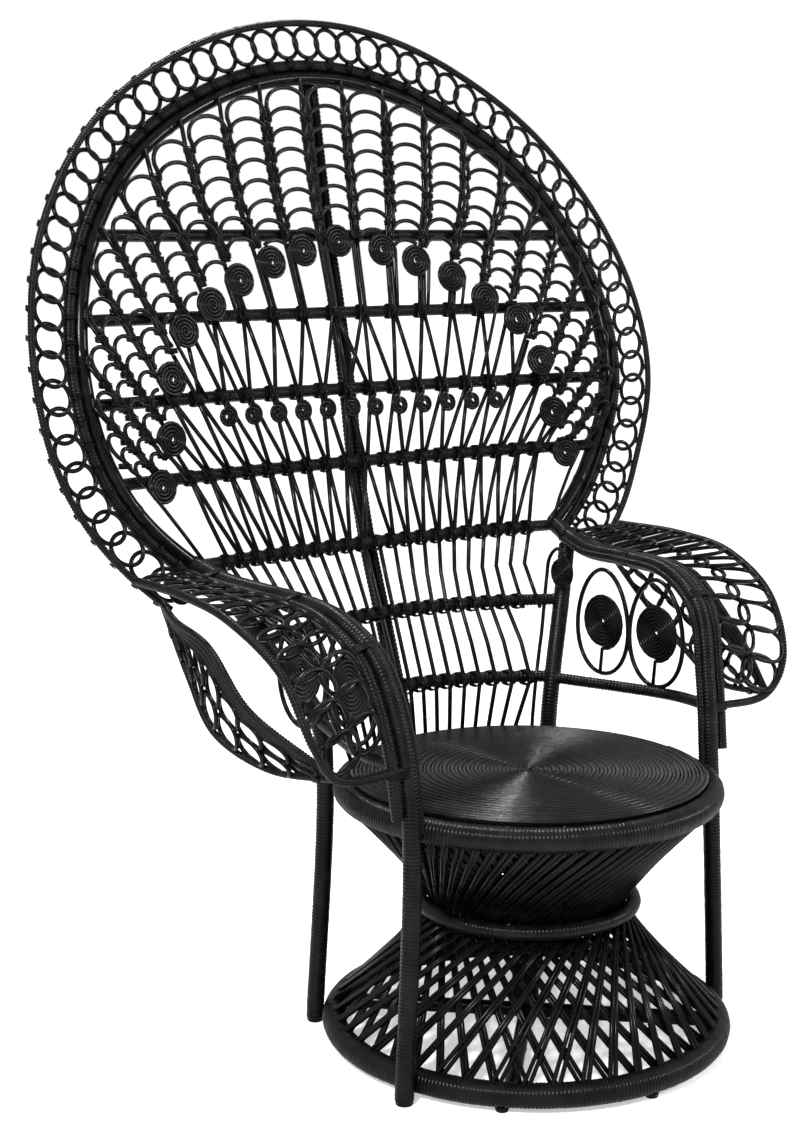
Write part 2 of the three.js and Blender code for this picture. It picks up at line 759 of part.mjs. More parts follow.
function makeStakes() {
  const rise = (i) => {
    const turn = (i * fanRadius * stakePitchShares[0]) / stakeSeatRadius;
    const foot = onCircle(stakeSeatRadius, Math.PI / 2 - turn, stakeFootHeight);
    return [
      foot, stakePlace(i, bar7Height, -caneReach / 2), stakePlace(i, bar6Height),
      stakePlace(i, bar5Height - apexGap),
    ];
  };
  const points = [];
  for (let i = -seatStakes; i <= seatStakes; i++) {
    const stake = rise(i);
    points.push(...((i + seatStakes) % 2 ? stake.reverse() : stake));
  }
  const posts = (side) => {
    const route = [];
    for (let i = seatStakes + 1; i <= postStakes; i++) {
      const stake = [stakePlace(side * i, bar5Height - apexGap), stakePlace(side * i, bar6Height)];
      route.push(...((i - seatStakes) % 2 ? stake : stake.reverse()));
    }
    return route;
  };
  const leftPosts = bentCane([points[3], ...posts(-1)]);
  return bentCane([...points, ...posts(1)]).add(leftPosts);
}

// A zigzag cane between two bars, which turns over at each bar in two bends. Past the arch of
// spirals its peaks are cut off flat.
function zigzag(lower, upper) {
  const beside = (point, side) => fanPoint(point.x + side * apexTurn, point.z);
  const clip = (low, high) => (insideArch(high) ? high : crossing(low, high, insideArch));
  const points = lower.flatMap((low, i) => {
    const [left, right] = [beside(low, -1), beside(low, 1)];
    const legs = [];
    if (i > 0) legs.push(clip(left, beside(upper[i - 1], 1)), left);
    if (i < lower.length - 1) legs.push(right, clip(right, beside(upper[i], -1)));
    return legs;
  });
  const apart = (point, i) => i === 0 || point.distanceTo(points[i - 1]) > caneReach / 2;
  return points.filter(apart);
}

function course(lowerIndexes, lowerHeight, upperIndexes, upperHeight) {
  const lower = lowerIndexes.map((i) => stakePlace(i, lowerHeight + apexGap));
  const upper = upperIndexes.map((i) => stakePlace(i, upperHeight - apexGap));
  return zigzag(lower, upper);
}

const branches = postStakes;
const thirdBranches = 6.5;
const firstCourse = course(
  [...indexes(-branches, -1), ...indexes(1, branches)], bar5Height,
  indexes(1 - branches, branches - 1), bar4Height,
);
const secondCourse = course(
  indexes(-branches, branches), bar4Height,
  indexes(1 / 2 - branches, branches - 1 / 2), bar3Height,
);
const thirdLower = indexes(-thirdBranches, thirdBranches);
const thirdUpper = thirdLower.slice(1).map((i) => (i > 0.5 ? i : i - 1));
const thirdCourse = course(thirdLower, bar3Height, thirdUpper, bar2Height);

// Columns of the upper lace: one cane that fans out from the second bar and the arch of spirals
// to the hoop, and turns over at each end
const outerColumn = 10.5;
const innerColumns = 5;
const columnSpan = 110;
const columnFootGap = largeSpiralRadius / 2;

function levelWhere(index, test, from, to) {
  let low = from;
  let high = to;
  for (let i = 0; i < 20; i++) {
    const middle = (low + high) / 2;
    if (test(stakePlace(index, middle))) low = middle;
    else high = middle;
  }
  return low;
}

function columnPoints(index) {
  const onArch = levelWhere(index, insideArch, bar4Height, overallHeight);
  const foot = Math.abs(index) < innerColumns ? bar2Height + apexGap : onArch + columnFootGap;
  const top = levelWhere(index, insideHoop, foot, overallHeight);
  const count = Math.max(Math.round((top - foot) / columnSpan), 1);
  return indexes(0, count).map((i) => stakePlace(index, THREE.MathUtils.lerp(foot, top, i / count)));
}

function makeColumns() {
  return indexes(-outerColumn, outerColumn).flatMap((index) => {
    const points = columnPoints(index);
    const upward = (Math.round(Math.abs(index) - 0.5) % 2 === 0) === index > 0;
    return upward ? points : points.reverse();
  });
}

// Rows of scallops before the columns. A cane arches from column to column, steps up at the
// end of its row and comes back. One cane fills the rows over the arch of spirals, and another
// runs up the left side, over the arch and down the right side.
const archSteps = 3;
const archTurn = 1.2 * caneReach;
const lowestRowShare = 0.545;
const spiralCentres = spiralAcrossShares.map((share, i) => new THREE.Vector2(
  share * fanRadius, fanCentreHeight + spiralUpShares[i] * fanRadius,
));

function archPoints(column, z, behind = 0) {
  const left = stakePlace(column - 1 / 2, z).x + archTurn;
  const right = stakePlace(column + 1 / 2, z).x - archTurn;
  const half = (right - left) / 2;
  return indexes(0, archSteps).map((i) => {
    const angle = Math.PI * (1 - i / archSteps);
    const x = (left + right) / 2 + half * Math.cos(angle);
    return fanPoint(x, z + archRise * Math.sin(angle), behind);
  });
}

function clearOfSpirals(point) {
  const place = new THREE.Vector2(Math.abs(point.x), point.z);
  const near = spiralCentres.some((centre) => centre.distanceTo(place) < spiralClearance);
  return !near && !insideArch(point);
}

const spiralClearance = largeSpiralRadius + 2 * caneReach;
const insideFrame = (point) => Math.abs(point.x) < halfWidthAt(point.z) - innerHoopRadius;

function rowColumns(z) {
  return indexes(-outerColumn - 1 / 2, outerColumn + 1 / 2).filter((column) => {
    const points = archPoints(column, z);
    return points.every(clearOfSpirals) && points.every(insideFrame);
  });
}

function scallopRow(columns, z, leftToRight, behind) {
  const points = columns.flatMap((column) => archPoints(column, z, behind));
  return leftToRight ? points : points.reverse();
}

const rowHeights = [];
for (let z = lowestRowShare * overallHeight; z < overallHeight; z += archRowPitch) {
  if (rowColumns(z).length) rowHeights.push(z);
}
const lowestWhole = rowHeights.findIndex((z) => rowColumns(z).includes(0));

function sideScallops(behind) {
  const rows = rowHeights.slice(0, lowestWhole);
  const oneSide = (side) => rows.flatMap((z, i) => {
    const columns = rowColumns(z).filter((column) => column * side > 0);
    return scallopRow(columns, z, ((rows.length - i) % 2 === 0) === side < 0, behind);
  });
  const wholeHeight = rowHeights[lowestWhole];
  const whole = scallopRow(rowColumns(wholeHeight), wholeHeight, true, behind);
  return bentCane([...oneSide(-1), ...whole, ...oneSide(1).reverse()]);
}

function topScallops(behind) {
  return bentCane(rowHeights.slice(lowestWhole + 1)
    .flatMap((z, i) => scallopRow(rowColumns(z), z, i % 2 === 0, behind)));
}

// Spirals
const spiralSteps = 6;
const smallSpirals = 5.5;

function fanFrame(x, z, behind) {
  const centre = fanPoint(x, z, behind);
  const along = fanPoint(x + caneReach, z).sub(fanPoint(x - caneReach, z)).normalize();
  const up = fanPoint(x, z + caneReach).sub(fanPoint(x, z - caneReach)).normalize();
  return { centre, along, up };
}

function largeSpiral(step, side, behind) {
  const place = spiralCentres[step];
  const { centre, along, up } = fanFrame(side * place.x, place.y, behind);
  const radius = largeSpiralRadius - caneReach;
  return bentCane(flatCoil(centre, along.multiplyScalar(-side), up, radius, spiralSteps));
}

// Small spirals hang in a row from one cane under the third bar
function smallSpiralRow(behind) {
  const z = bar3Height - barRadius - smallSpiralRadius;
  const across = indexes(-smallSpirals, smallSpirals).map((i) => stakePlace(i, bar3Height).x);
  const carrier = bentCane(across.map((x) => fanFrame(x, z + smallSpiralRadius, behind).centre));
  const coils = across.map((x) => {
    const { centre, along, up } = fanFrame(x, z, behind);
    return bentCane(flatCoil(centre, up, along, smallSpiralRadius - caneReach / 2, spiralSteps));
  });
  return fuse([carrier, ...coils]);
}

// Seating: bars come forward to the lace, the spine to the bars, and the front layer goes back
const stakes = makeStakes();
const courses = [firstCourse, secondCourse, thirdCourse].map((points) => bentCane(points));
const columns = bentCane(makeColumns());
const lace = [stakes, ...courses, columns];
const bars = barHeights.map((z, index) => {
  const forward = seatShift((shift) => barCane(index, shift), lace, -caneReach, poleLayer);
  return trim(barCane(index, forward), [...legSpaces, innerHoopSpace]);
});

function seatedSpinePole(side) {
  const backward = seatShift((shift) => spinePole(side, shift), bars, barRadius, -barRadius);
  return trim(spinePole(side, backward), [innerHoopSpace]);
}

function seatedInFront(make, neighbours, deepest = 0) {
  return make(seatShift(make, neighbours, -frontRoom, deepest));
}

const frontRoom = 5 * caneReach;
const carriers = [...lace, ...bars];
const scallops = [sideScallops, topScallops].map((make) => seatedInFront(make, carriers));
const smallSpiralPiece = seatedInFront(smallSpiralRow, carriers);
const spiralCarriers = [...carriers, ...scallops, smallSpiralPiece];

function seatedSpiral(step, side) {
  return seatedInFront((behind) => largeSpiral(step, side, behind), spiralCarriers, caneReach);
}

// The finished chair: one named mesh for each piece
const chair = new THREE.Group();

function addPiece(name, shape, finish = lacquer) {
  const geometry = shape.isBufferGeometry ? shape : toGeometry(shape);
  const mesh = new THREE.Mesh(geometry, new THREE.MeshStandardMaterial(finish));
  mesh.name = name;
  chair.add(mesh);
}

addPiece('seat_disc', seatDisc(), wornLacquer);
addPiece('seat_rim', seatRim);
addPiece('waist_ring', waistRing);
addPiece('base_ring', baseRing);
addPiece('upper_cage', upperCage);
addPiece('lower_cage', lowerCage);
addPiece('floor_cross', floorCross);
addPiece('centre_post', standingCylinder(centrePostRadius, centrePostFoot, centrePostTop, postSides));
footBlockAngles.forEach((angle, i) => {
  const block = standingCylinder(footBlockRadius, 0, footLift - clearance, postSides);
  const place = onCircle(baseRingRadius, angle, 0);
  block.translate(place.x, place.y, 0);
  addPiece(`foot_block_${i + 1}`, block);
});
addPiece('inner_hoop', innerHoop);
addPiece('outer_hoop', outerHoop);
addPiece('rim_pole', rimPole);
addPiece('ring_border', seatedBorder());
bars.forEach((bar, i) => addPiece(`bar_${bars.length - i}`, bar));
addPiece('stakes', stakes);
courses.forEach((course, i) => addPiece(`course_${i + 1}`, course));
addPiece('columns', columns);
addPiece('scallops_sides', scallops[0]);
addPiece('scallops_top', scallops[1]);
addPiece('small_spirals', smallSpiralPiece);
addPiece('spiral_middle', seatedSpiral(0, 1));
for (const arm of arms) {
  const hand = arm.side < 0 ? 'left' : 'right';
  addPiece(`arm_pole_${hand}`, arm.arm);
  addPiece(`outer_arm_pole_${hand}`, arm.outerArm);
  addPiece(`rear_leg_${hand}`, arm.rearLeg);
  addPiece(`spine_pole_${hand}`, seatedSpinePole(arm.side));
  addPiece(`wing_${hand}`, makeWing(arm, hand));
  addPiece(`side_leaf_${hand}`, makeSideLeaf(arm, hand));
  addPiece(`arm_scrolls_${hand}`, makeScrolls(arm));
  for (let step = 1; step < spiralCentres.length; step++) {
    addPiece(`spiral_${hand}_${step}`, seatedSpiral(step, arm.side));
  }
}

// The origin lies on the floor, under the middle of the chair's width and depth
const middle = new THREE.Box3().setFromObject(chair).getCenter(new THREE.Vector3());
chair.children.forEach((piece) => piece.position.setY(-middle.y));

console.log(`Least gap of each looped cane to itself: ${selfGaps.join(', ')}`);
export default chair;
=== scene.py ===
"""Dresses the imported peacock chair: black lacquered rattan, woven cane by cane, on a white floor.

Metres, +Z up. The chair faces -Y and stands over the origin, and "left" is the viewer's left.
"""

import math
import random

import bmesh
import bpy
from bpy.props import FloatProperty, FloatVectorProperty, IntProperty, PointerProperty
from mathutils import Matrix, Vector


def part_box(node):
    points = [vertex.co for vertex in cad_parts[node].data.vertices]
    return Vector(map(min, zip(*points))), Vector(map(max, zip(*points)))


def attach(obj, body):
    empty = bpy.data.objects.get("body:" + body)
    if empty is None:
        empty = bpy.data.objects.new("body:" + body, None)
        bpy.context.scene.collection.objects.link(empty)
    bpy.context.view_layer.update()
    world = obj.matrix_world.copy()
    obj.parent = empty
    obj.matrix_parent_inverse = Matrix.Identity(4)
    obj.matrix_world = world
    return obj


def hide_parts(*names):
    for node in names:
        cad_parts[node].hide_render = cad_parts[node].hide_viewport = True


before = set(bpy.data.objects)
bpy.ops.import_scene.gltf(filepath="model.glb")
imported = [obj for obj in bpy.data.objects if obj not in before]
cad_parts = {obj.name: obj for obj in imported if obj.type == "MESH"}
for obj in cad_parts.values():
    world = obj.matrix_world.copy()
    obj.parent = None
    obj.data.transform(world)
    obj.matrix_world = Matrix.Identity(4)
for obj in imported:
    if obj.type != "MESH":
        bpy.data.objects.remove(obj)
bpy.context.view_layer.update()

bl_info = {
    "name": "Peacock Chair",
    "version": (1, 0, 0),
    "blender": (4, 5, 0),
    "location": "View3D > Sidebar > Peacock Chair",
    "description": "Weaves a black rattan peacock chair round its frame",
    "category": "Object",
}

UP = Vector((0, 0, 1))
ACROSS = Vector((1, 0, 0))
ALONG = Vector((0, 1, 0))
SIDES = {"left": -1, "right": 1}


# Sizes and colours that a user would change


class ChairSizes(bpy.types.PropertyGroup):
    """Main sizes of the chair's frame."""

    overall_height: FloatProperty(
        name="Overall Height", description="Floor to the top of the fan",
        default=1.5, unit="LENGTH")
    seat_height: FloatProperty(
        name="Seat Height", description="Floor to the top of the seat",
        default=0.4, unit="LENGTH")
    seat_radius: FloatProperty(
        name="Seat Radius", description="Radius of the coiled seat",
        default=0.262, unit="LENGTH")
    rim_radius: FloatProperty(
        name="Rim Radius", description="Middle of the seat's wrapped rim",
        default=0.266, unit="LENGTH")
    rim_tube: FloatProperty(
        name="Rim Thickness", description="Radius of the rim's section",
        default=0.0185, unit="LENGTH")
    waist_radius: FloatProperty(
        name="Waist Radius", description="Middle of the ring at the base's waist",
        default=0.157, unit="LENGTH")
    waist_tube: FloatProperty(
        name="Waist Thickness", description="Radius of the waist ring's section",
        default=0.011, unit="LENGTH")
    waist_height: FloatProperty(
        name="Waist Height", description="Floor to the waist ring",
        default=0.206, unit="LENGTH")
    base_radius: FloatProperty(
        name="Base Radius", description="Middle of the ring near the floor",
        default=0.284, unit="LENGTH")
    base_tube: FloatProperty(
        name="Base Thickness", description="Radius of the base ring's section",
        default=0.0178, unit="LENGTH")
    leg_radius: FloatProperty(
        name="Leg Radius", description="Radius of the legs and the arms' main poles",
        default=0.0135, unit="LENGTH")
    fan_radius: FloatProperty(
        name="Fan Radius", description="Half the width of the fan",
        default=0.59, unit="LENGTH")
    fan_centre_height: FloatProperty(
        name="Fan Centre Height", description="Floor to the centre of the fan's outline",
        default=0.986, unit="LENGTH")


class CaneSizes(bpy.types.PropertyGroup):
    """Sizes of the canes, their windings and their ties."""

    cane_radius: FloatProperty(
        name="Cane", description="Radius of the canes of the open work",
        default=0.0035, unit="LENGTH")
    ring_radius: FloatProperty(
        name="Ring Cane", description="Radius of the canes bent into rings",
        default=0.0034, unit="LENGTH")
    coil_pitch: FloatProperty(
        name="Seat Coil Pitch", description="Distance between two turns of the seat's coil",
        default=0.0058, unit="LENGTH")
    wrap_pitch: FloatProperty(
        name="Wrap Pitch", description="Width of one winding on a wrapped pole",
        default=0.0052, unit="LENGTH")
    wrap_relief: FloatProperty(
        name="Wrap Relief", description="Depth of the groove between two windings",
        default=0.0011, unit="LENGTH")
    tie_thickness: FloatProperty(
        name="Tie", description="Radius of the thin cane that ties the crossings",
        default=0.0013, unit="LENGTH")
    border_rings: IntProperty(
        name="Border Rings", description="Linked rings round the fan", default=60)
    seed: IntProperty(name="Seed", description="Start of all random variation", default=7)


class Finish(bpy.types.PropertyGroup):
    """Colours of the lacquer."""

    lacquer: FloatVectorProperty(
        name="Lacquer", description="Black lacquer on the canes", subtype="COLOR",
        default=(0.0027, 0.0026, 0.0024))
    rubbed: FloatVectorProperty(
        name="Rubbed Lacquer", description="Lacquer where it is thin and the cane shows",
        subtype="COLOR", default=(0.0092, 0.0084, 0.0073))
    cane_roughness: FloatProperty(
        name="Cane Roughness", description="Roughness of the thin canes",
        default=0.26, min=0, max=1, subtype="FACTOR")
    wrap_roughness: FloatProperty(
        name="Wrap Roughness", description="Roughness of the wrapped poles",
        default=0.31, min=0, max=1, subtype="FACTOR")


class Stage(bpy.types.PropertyGroup):
    """Camera, lamps and floor."""

    camera_place: FloatVectorProperty(
        name="Camera Place", description="Where the camera stands", subtype="TRANSLATION",
        unit="LENGTH", default=(-1.8258, -2.2307, 1.1698))
    camera_aim: FloatVectorProperty(
        name="Camera Aim", description="Direction of the view", subtype="DIRECTION",
        default=(0.5957, 0.7859, -0.1664))
    focal_length: FloatProperty(
        name="Focal Length", description="Millimetres on a 36 mm sensor", default=62.7)
    floor_colour: FloatVectorProperty(
        name="Floor", description="Colour of the floor", subtype="COLOR",
        default=(0.93, 0.93, 0.93))


# The fan's surface and outline, as in the frame

# Levels are shares of the overall height. Lean and bow are shares of the seat's radius.
# Outline, stakes and spirals are shares of the fan's radius, and outline angles are degrees.
LEAN_LEVELS = (0.26, 0.31, 0.39, 0.46, 0.54, 0.62, 0.7, 0.775, 0.87, 0.93, 1.01)
LEAN_DEPTHS = (1.034, 1.076, 1.24, 1.39, 1.51, 1.585, 1.69, 1.8, 1.905, 1.942, 1.955)
BOW_LEVELS = (0.27, 0.31, 0.387, 0.427, 0.462, 0.54, 0.9)
BOW_RADII = (1.06, 1.09, 1.91, 5.8, 7.3, 9.5, 9.5)
OUTLINE_ANGLES = (-60, -40, -25, -8, 12, 35, 60, 90, 120)
OUTLINE_RADII = (0.87, 0.929, 0.975, 1, 0.986, 0.941, 0.888, 0.871, 0.888)
BAR_LEVELS = (0.312, 0.387, 0.458, 0.542, 0.618, 0.697, 0.777)
STAKE_LEVELS = (0.26, 0.312, 0.387, 0.458, 0.542, 0.618, 0.697, 0.777, 0.806, 0.93)
STAKE_PITCHES = (
    0.0366, 0.0407, 0.0415, 0.0497, 0.063, 0.0803, 0.097, 0.112, 0.122, 0.134)
SPIRALS_ACROSS = (0, 0.13, 0.236, 0.347, 0.446, 0.544, 0.603, 0.625, 0.663)
SPIRALS_UP = (0.288, 0.264, 0.234, 0.19, 0.131, 0.068, -0.047, -0.192, -0.307)
FAN_END = math.radians(-40)

RIM_POLE = 0.0055
RING_BAND = 0.049
OUTER_HOOP = 0.0085
INNER_HOOP = 0.0105
BAR = 0.0105
SPINE = 0.0075
OUTER_ARM = 0.009
WING_POLE = 0.006
SIDE_EDGE = 0.0045
RAIL = 0.009
LAYER = 0.0155
CROSS_POLE = 0.011
POST_POLE = 0.02
FOOT_BLOCK = 0.01
FOOT_LENGTH = 0.014
FRONT_LEG = math.radians(-18)
REAR_LEG = math.radians(43)
RAIL_RISE = 0.067
LARGE_SPIRAL_CANE = 0.003
SMALL_SPIRAL_CANE = 0.0027
BORDER_COIL_CANE = 0.003
ARM_COIL_CANE = 0.0031
ARM_LOOP_CANE = 0.0036
ARM_TIE = 0.0014

# Gaps, steps and windings that several pieces share

GAP = 0.0003
BAND_GAP = 0.002
HEXAGON_FLAT = math.cos(math.pi / 6)
ROUTE_STEP = 0.006
SLOPE_STEP = 0.01
RING_POINTS = 26
RING_LIFT = 0.0042
SCALLOP_RISE = 0.029
COIL_HEART = 0.0025
SLIM_WRAP_PITCH = 0.0048
TIE_PITCH = 0.0027


def read_table(levels, values, at):
    """Value of a table at a level, smooth between its rows."""
    last = len(levels) - 1
    if at <= levels[0]:
        return values[0]
    if at >= levels[last]:
        return values[last]
    i = 0
    while levels[i + 1] < at:
        i += 1

    def slope(k):
        a, b = max(k - 1, 0), min(k + 1, last)
        return (values[b] - values[a]) / (levels[b] - levels[a])

    span = levels[i + 1] - levels[i]
    t = (at - levels[i]) / span
    return (values[i] * (2 * t**3 - 3 * t**2 + 1) + values[i + 1] * (3 * t**2 - 2 * t**3)
            + slope(i) * span * (t**3 - 2 * t**2 + t) + slope(i + 1) * span * (t**3 - t**2))


def sizes():
    return bpy.context.scene.peacock_sizes


def canes_of():
    return bpy.context.scene.peacock_canes


def fan_point(x, z, behind=0.0):
    """A point of the fan's surface, or that far behind it."""
    s = sizes()
    lean = s.seat_radius * read_table(LEAN_LEVELS, LEAN_DEPTHS, z / s.overall_height)
    bow = s.seat_radius * read_table(BOW_LEVELS, BOW_RADII, z / s.overall_height)
    return Vector((x, lean - x * x / (2 * bow) + behind, z))


def surface_up(place):
    """Direction straight up in the fan's surface."""
    above = fan_point(place.x, place.z + SLOPE_STEP)
    return (above - fan_point(place.x, place.z - SLOPE_STEP)).normalized()


def outline_point(angle, inward, behind):
    """A point that far inside the fan's round outline and that far behind its surface."""
    s = sizes()
    side = -1 if math.cos(angle) < 0 else 1
    folded = math.degrees(math.asin(math.sin(angle)))
    radius = s.fan_radius * read_table(OUTLINE_ANGLES, OUTLINE_RADII, folded) - inward
    x = side * radius * abs(math.cos(angle))
    return fan_point(x, s.fan_centre_height + radius * math.sin(angle), behind)


def outline_route(inward):
    """Round the fan from one end to the other, a distance inside its outline."""
    begin, end, count = FAN_END, math.pi - FAN_END, 200
    return [outline_point(begin + (end - begin) * i / count, inward, LAYER)
            for i in range(count + 1)]


def band_inward():
    return 2 * RIM_POLE + RING_BAND / 2


def outer_hoop_inward():
    return 2 * RIM_POLE + RING_BAND + BAND_GAP + OUTER_HOOP


def inner_hoop_inward():
    return outer_hoop_inward() + OUTER_HOOP + GAP + INNER_HOOP


def seat_axis():
    """From the chair's origin to the foot of the seat's axis, from which all routes are laid."""
    low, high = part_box("seat_rim")
    return Vector((0, (low.y + high.y) / 2, 0))


def frame_box(node):
    """Box of a part of the frame, as seen from the seat's axis."""
    low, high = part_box(node)
    return low - seat_axis(), high - seat_axis()


def bar_heights():
    return [level * sizes().overall_height for level in BAR_LEVELS]


def stake_place(index, z, behind=0.0):
    """Where the stake of that index crosses a height."""
    s = sizes()
    pitch = s.fan_radius * read_table(STAKE_LEVELS, STAKE_PITCHES, z / s.overall_height)
    return fan_point(index * pitch, z, behind)


def spiral_arch_height(x):
    s = sizes()
    share = read_table(SPIRALS_ACROSS, SPIRALS_UP, abs(x) / s.fan_radius)
    return s.fan_centre_height + s.fan_radius * share


def inside_arch(point):
    return point.z < spiral_arch_height(point.x)


def inside_hoop(point):
    """Whether a point of the fan lies within the middle line of the inner hoop."""
    s = sizes()
    up = point.z - s.fan_centre_height
    angle = math.degrees(math.atan2(up, abs(point.x)))
    radius = s.fan_radius * read_table(OUTLINE_ANGLES, OUTLINE_RADII, angle)
    return math.hypot(point.x, up) < radius - inner_hoop_inward()


def level_where(index, test, low, high):
    """Height at which a stake leaves a region, found by halving."""
    halvings = 18
    for _ in range(halvings):
        middle = (low + high) / 2
        if test(stake_place(index, middle)):
            low = middle
        else:
            high = middle
    return low


# Routes


def smooth(points):
    """A centripetal curve through points, with a point at every route step."""
    finer = 3
    pts = [2 * points[0] - points[1], *points, 2 * points[-1] - points[-2]]
    fine = []
    for i in range(1, len(pts) - 2):
        p = pts[i - 1:i + 3]
        d = [max((p[k + 1] - p[k]).length, 1e-9) ** 0.5 for k in range(3)]
        t1 = ((p[1] - p[0]) / d[0] - (p[2] - p[0]) / (d[0] + d[1]) + (p[2] - p[1]) / d[1]) * d[1]
        t2 = ((p[2] - p[1]) / d[1] - (p[3] - p[1]) / (d[1] + d[2]) + (p[3] - p[2]) / d[2]) * d[1]
        steps = max(2, round((p[2] - p[1]).length / (ROUTE_STEP / finer)))
        for k in range(steps):
            t = k / steps
            fine.append(p[1] * (2 * t**3 - 3 * t**2 + 1) + t1 * (t**3 - 2 * t**2 + t)
                        + p[2] * (3 * t**2 - 2 * t**3) + t2 * (t**3 - t**2))
    fine.append(pts[-2].copy())
    return spaced(fine, ROUTE_STEP)


def spaced(points, spacing, closed=False):
    """The same route with evenly spaced points."""
    route = points + points[:1] if closed else points
    run = [0.0]
    for a, b in zip(route, route[1:]):
        run.append(run[-1] + (b - a).length)
    count = max(2, round(run[-1] / spacing))
    result, i = [], 0
    for k in range(count + (0 if closed else 1)):
        at = run[-1] * k / count
        while i < len(run) - 2 and run[i + 1] < at:
            i += 1
        span = max(run[i + 1] - run[i], 1e-12)
        result.append(route[i].lerp(route[i + 1], (at - run[i]) / span))
    return result


def on_circle(radius, angle, height):
    return Vector((radius * math.cos(angle), radius * math.sin(angle), height))


def circle_route(radius, height):
    count = 240
    return [on_circle(radius, 2 * math.pi * i / count, height) for i in range(count)]


def coil(centre, toward, across, heart, radius, pitch, per_turn=18, clockwise=False):
    """A flat spiral from its heart out to a radius, ending towards a direction."""
    turns = (radius - heart) / pitch
    count = round(turns * per_turn)
    sign = -1 if clockwise else 1
    points = []
    for i in range(count + 1):
        angle = sign * 2 * math.pi * turns * (i / count - 1)
        r = heart + (radius - heart) * i / count
        points.append(centre + toward * r * math.cos(angle) + across * r * math.sin(angle))
    return points


def winding(centre, axis, out, half_out, half_side, turns, pitch=TIE_PITCH):
    """A tie: a few turns of thin cane round what it binds."""
    per_turn = 10
    axis, out = axis.normalized(), out.normalized()
    out = (out - axis * out.dot(axis)).normalized()
    side = axis.cross(out)
    count = round(turns * per_turn)
    points = []
    for i in range(count + 1):
        angle = 2 * math.pi * i / per_turn
        along = pitch * (i / per_turn - turns / 2)
        points.append(centre + axis * along + out * half_out * math.cos(angle)
                      + side * half_side * math.sin(angle))
    return points


def belt(a, radius_a, b, radius_b, axis, turns, pitch):
    """A few turns of thin cane round two poles that lie side by side."""
    per_turn, fullness = 18, 0.6
    axis = axis.normalized()
    toward = b - a
    toward = toward - axis * toward.dot(axis)
    half = toward.length / 2
    toward = toward.normalized()
    side = axis.cross(toward)
    points = []
    for i in range(round(turns * per_turn) + 1):
        angle = 2 * math.pi * i / per_turn
        radius = radius_a + (radius_b - radius_a) * (1 + math.cos(angle)) / 2
        wide = math.copysign(abs(math.sin(angle)) ** fullness, math.sin(angle))
        points.append((a + b) / 2 + axis * pitch * (i / per_turn - turns / 2)
                      + toward * (half + radius) * math.cos(angle) + side * radius * wide)
    return points


# From routes to pieces


def add_spline(curve, points, radii=None, closed=False):
    spline = curve.splines.new("POLY")
    spline.points.add(len(points) - 1)
    flat = [c for p in points for c in (p.x, p.y, p.z, 1.0)]
    spline.points.foreach_set("co", flat)
    if radii:
        spline.points.foreach_set("radius", radii)
    spline.use_cyclic_u = closed
    spline.use_smooth = True


def make_piece(name, routes, radius, material, nodes=(), roundness=2, closed=False, radii=None):
    """Turns routes into round canes of one piece, which rides on the chair."""
    curve = bpy.data.curves.new(name, "CURVE")
    curve.dimensions = "3D"
    curve.bevel_depth = radius
    curve.bevel_resolution = roundness
    curve.use_fill_caps = True
    for i, route in enumerate(routes):
        add_spline(curve, route, radii[i] if radii else None, closed)
    maker = bpy.data.objects.new(name + "_route", curve)
    bpy.context.scene.collection.objects.link(maker)
    mesh = bpy.data.meshes.new_from_object(maker)
    bpy.data.objects.remove(maker)
    bpy.data.curves.remove(curve)
    return finish_piece(name, mesh, material, nodes)


def finish_piece(name, mesh, material, nodes=()):
    bm = bmesh.new()
    bm.from_mesh(mesh)
    bmesh.ops.remove_doubles(bm, verts=bm.verts, dist=1e-6)
    bmesh.ops.translate(bm, verts=bm.verts, vec=seat_axis())
    for face in bm.faces:
        face.smooth = True
    bm.to_mesh(mesh)
    bm.free()
    mesh.name = name
    mesh.materials.clear()
    mesh.materials.append(material)
    piece = bpy.data.objects.new(name, mesh)
    bpy.context.scene.collection.objects.link(piece)
    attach(piece, "root")
    if nodes:
        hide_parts(*nodes)
    return piece


def wrapped(route, rng, radius, pitch=None, closed=False):
    """Points and radii of a pole wrapped with flat cane: a groove after each winding."""
    c = canes_of()
    pitch = pitch or c.wrap_pitch
    per_winding, shoulder, uneven = 4, 0.992, 0.012
    ends = route + route[:1] if closed else route
    length = sum((b - a).length for a, b in zip(ends, ends[1:]))
    points = spaced(route, length / (per_winding * round(length / pitch)), closed)
    groove = 1 - c.wrap_relief / radius
    radii = []
    for i in range(len(points)):
        phase = i % per_winding
        if phase == 0:
            height = 1 + rng.uniform(-uneven, uneven)
        radii.append((groove, height * shoulder, height, height * shoulder)[phase])
    return points, radii


def jointed(route, rng):
    """Points and radii of a bare pole, with the swollen joints of natural rattan."""
    step, first_joint, between_joints = 0.004, (0.05, 0.2), (0.17, 0.32)
    swelling = ((-1, 1.03), (0, 1.07), (1, 1.03))
    points = spaced(route, step)
    radii = [1.0] * len(points)
    at = rng.uniform(*first_joint)
    while at < len(points) * step:
        middle = int(at / step)
        for k, share in swelling:
            if 0 <= middle + k < len(points):
                radii[middle + k] = share
        at += rng.uniform(*between_joints)
    return points, radii


# Materials


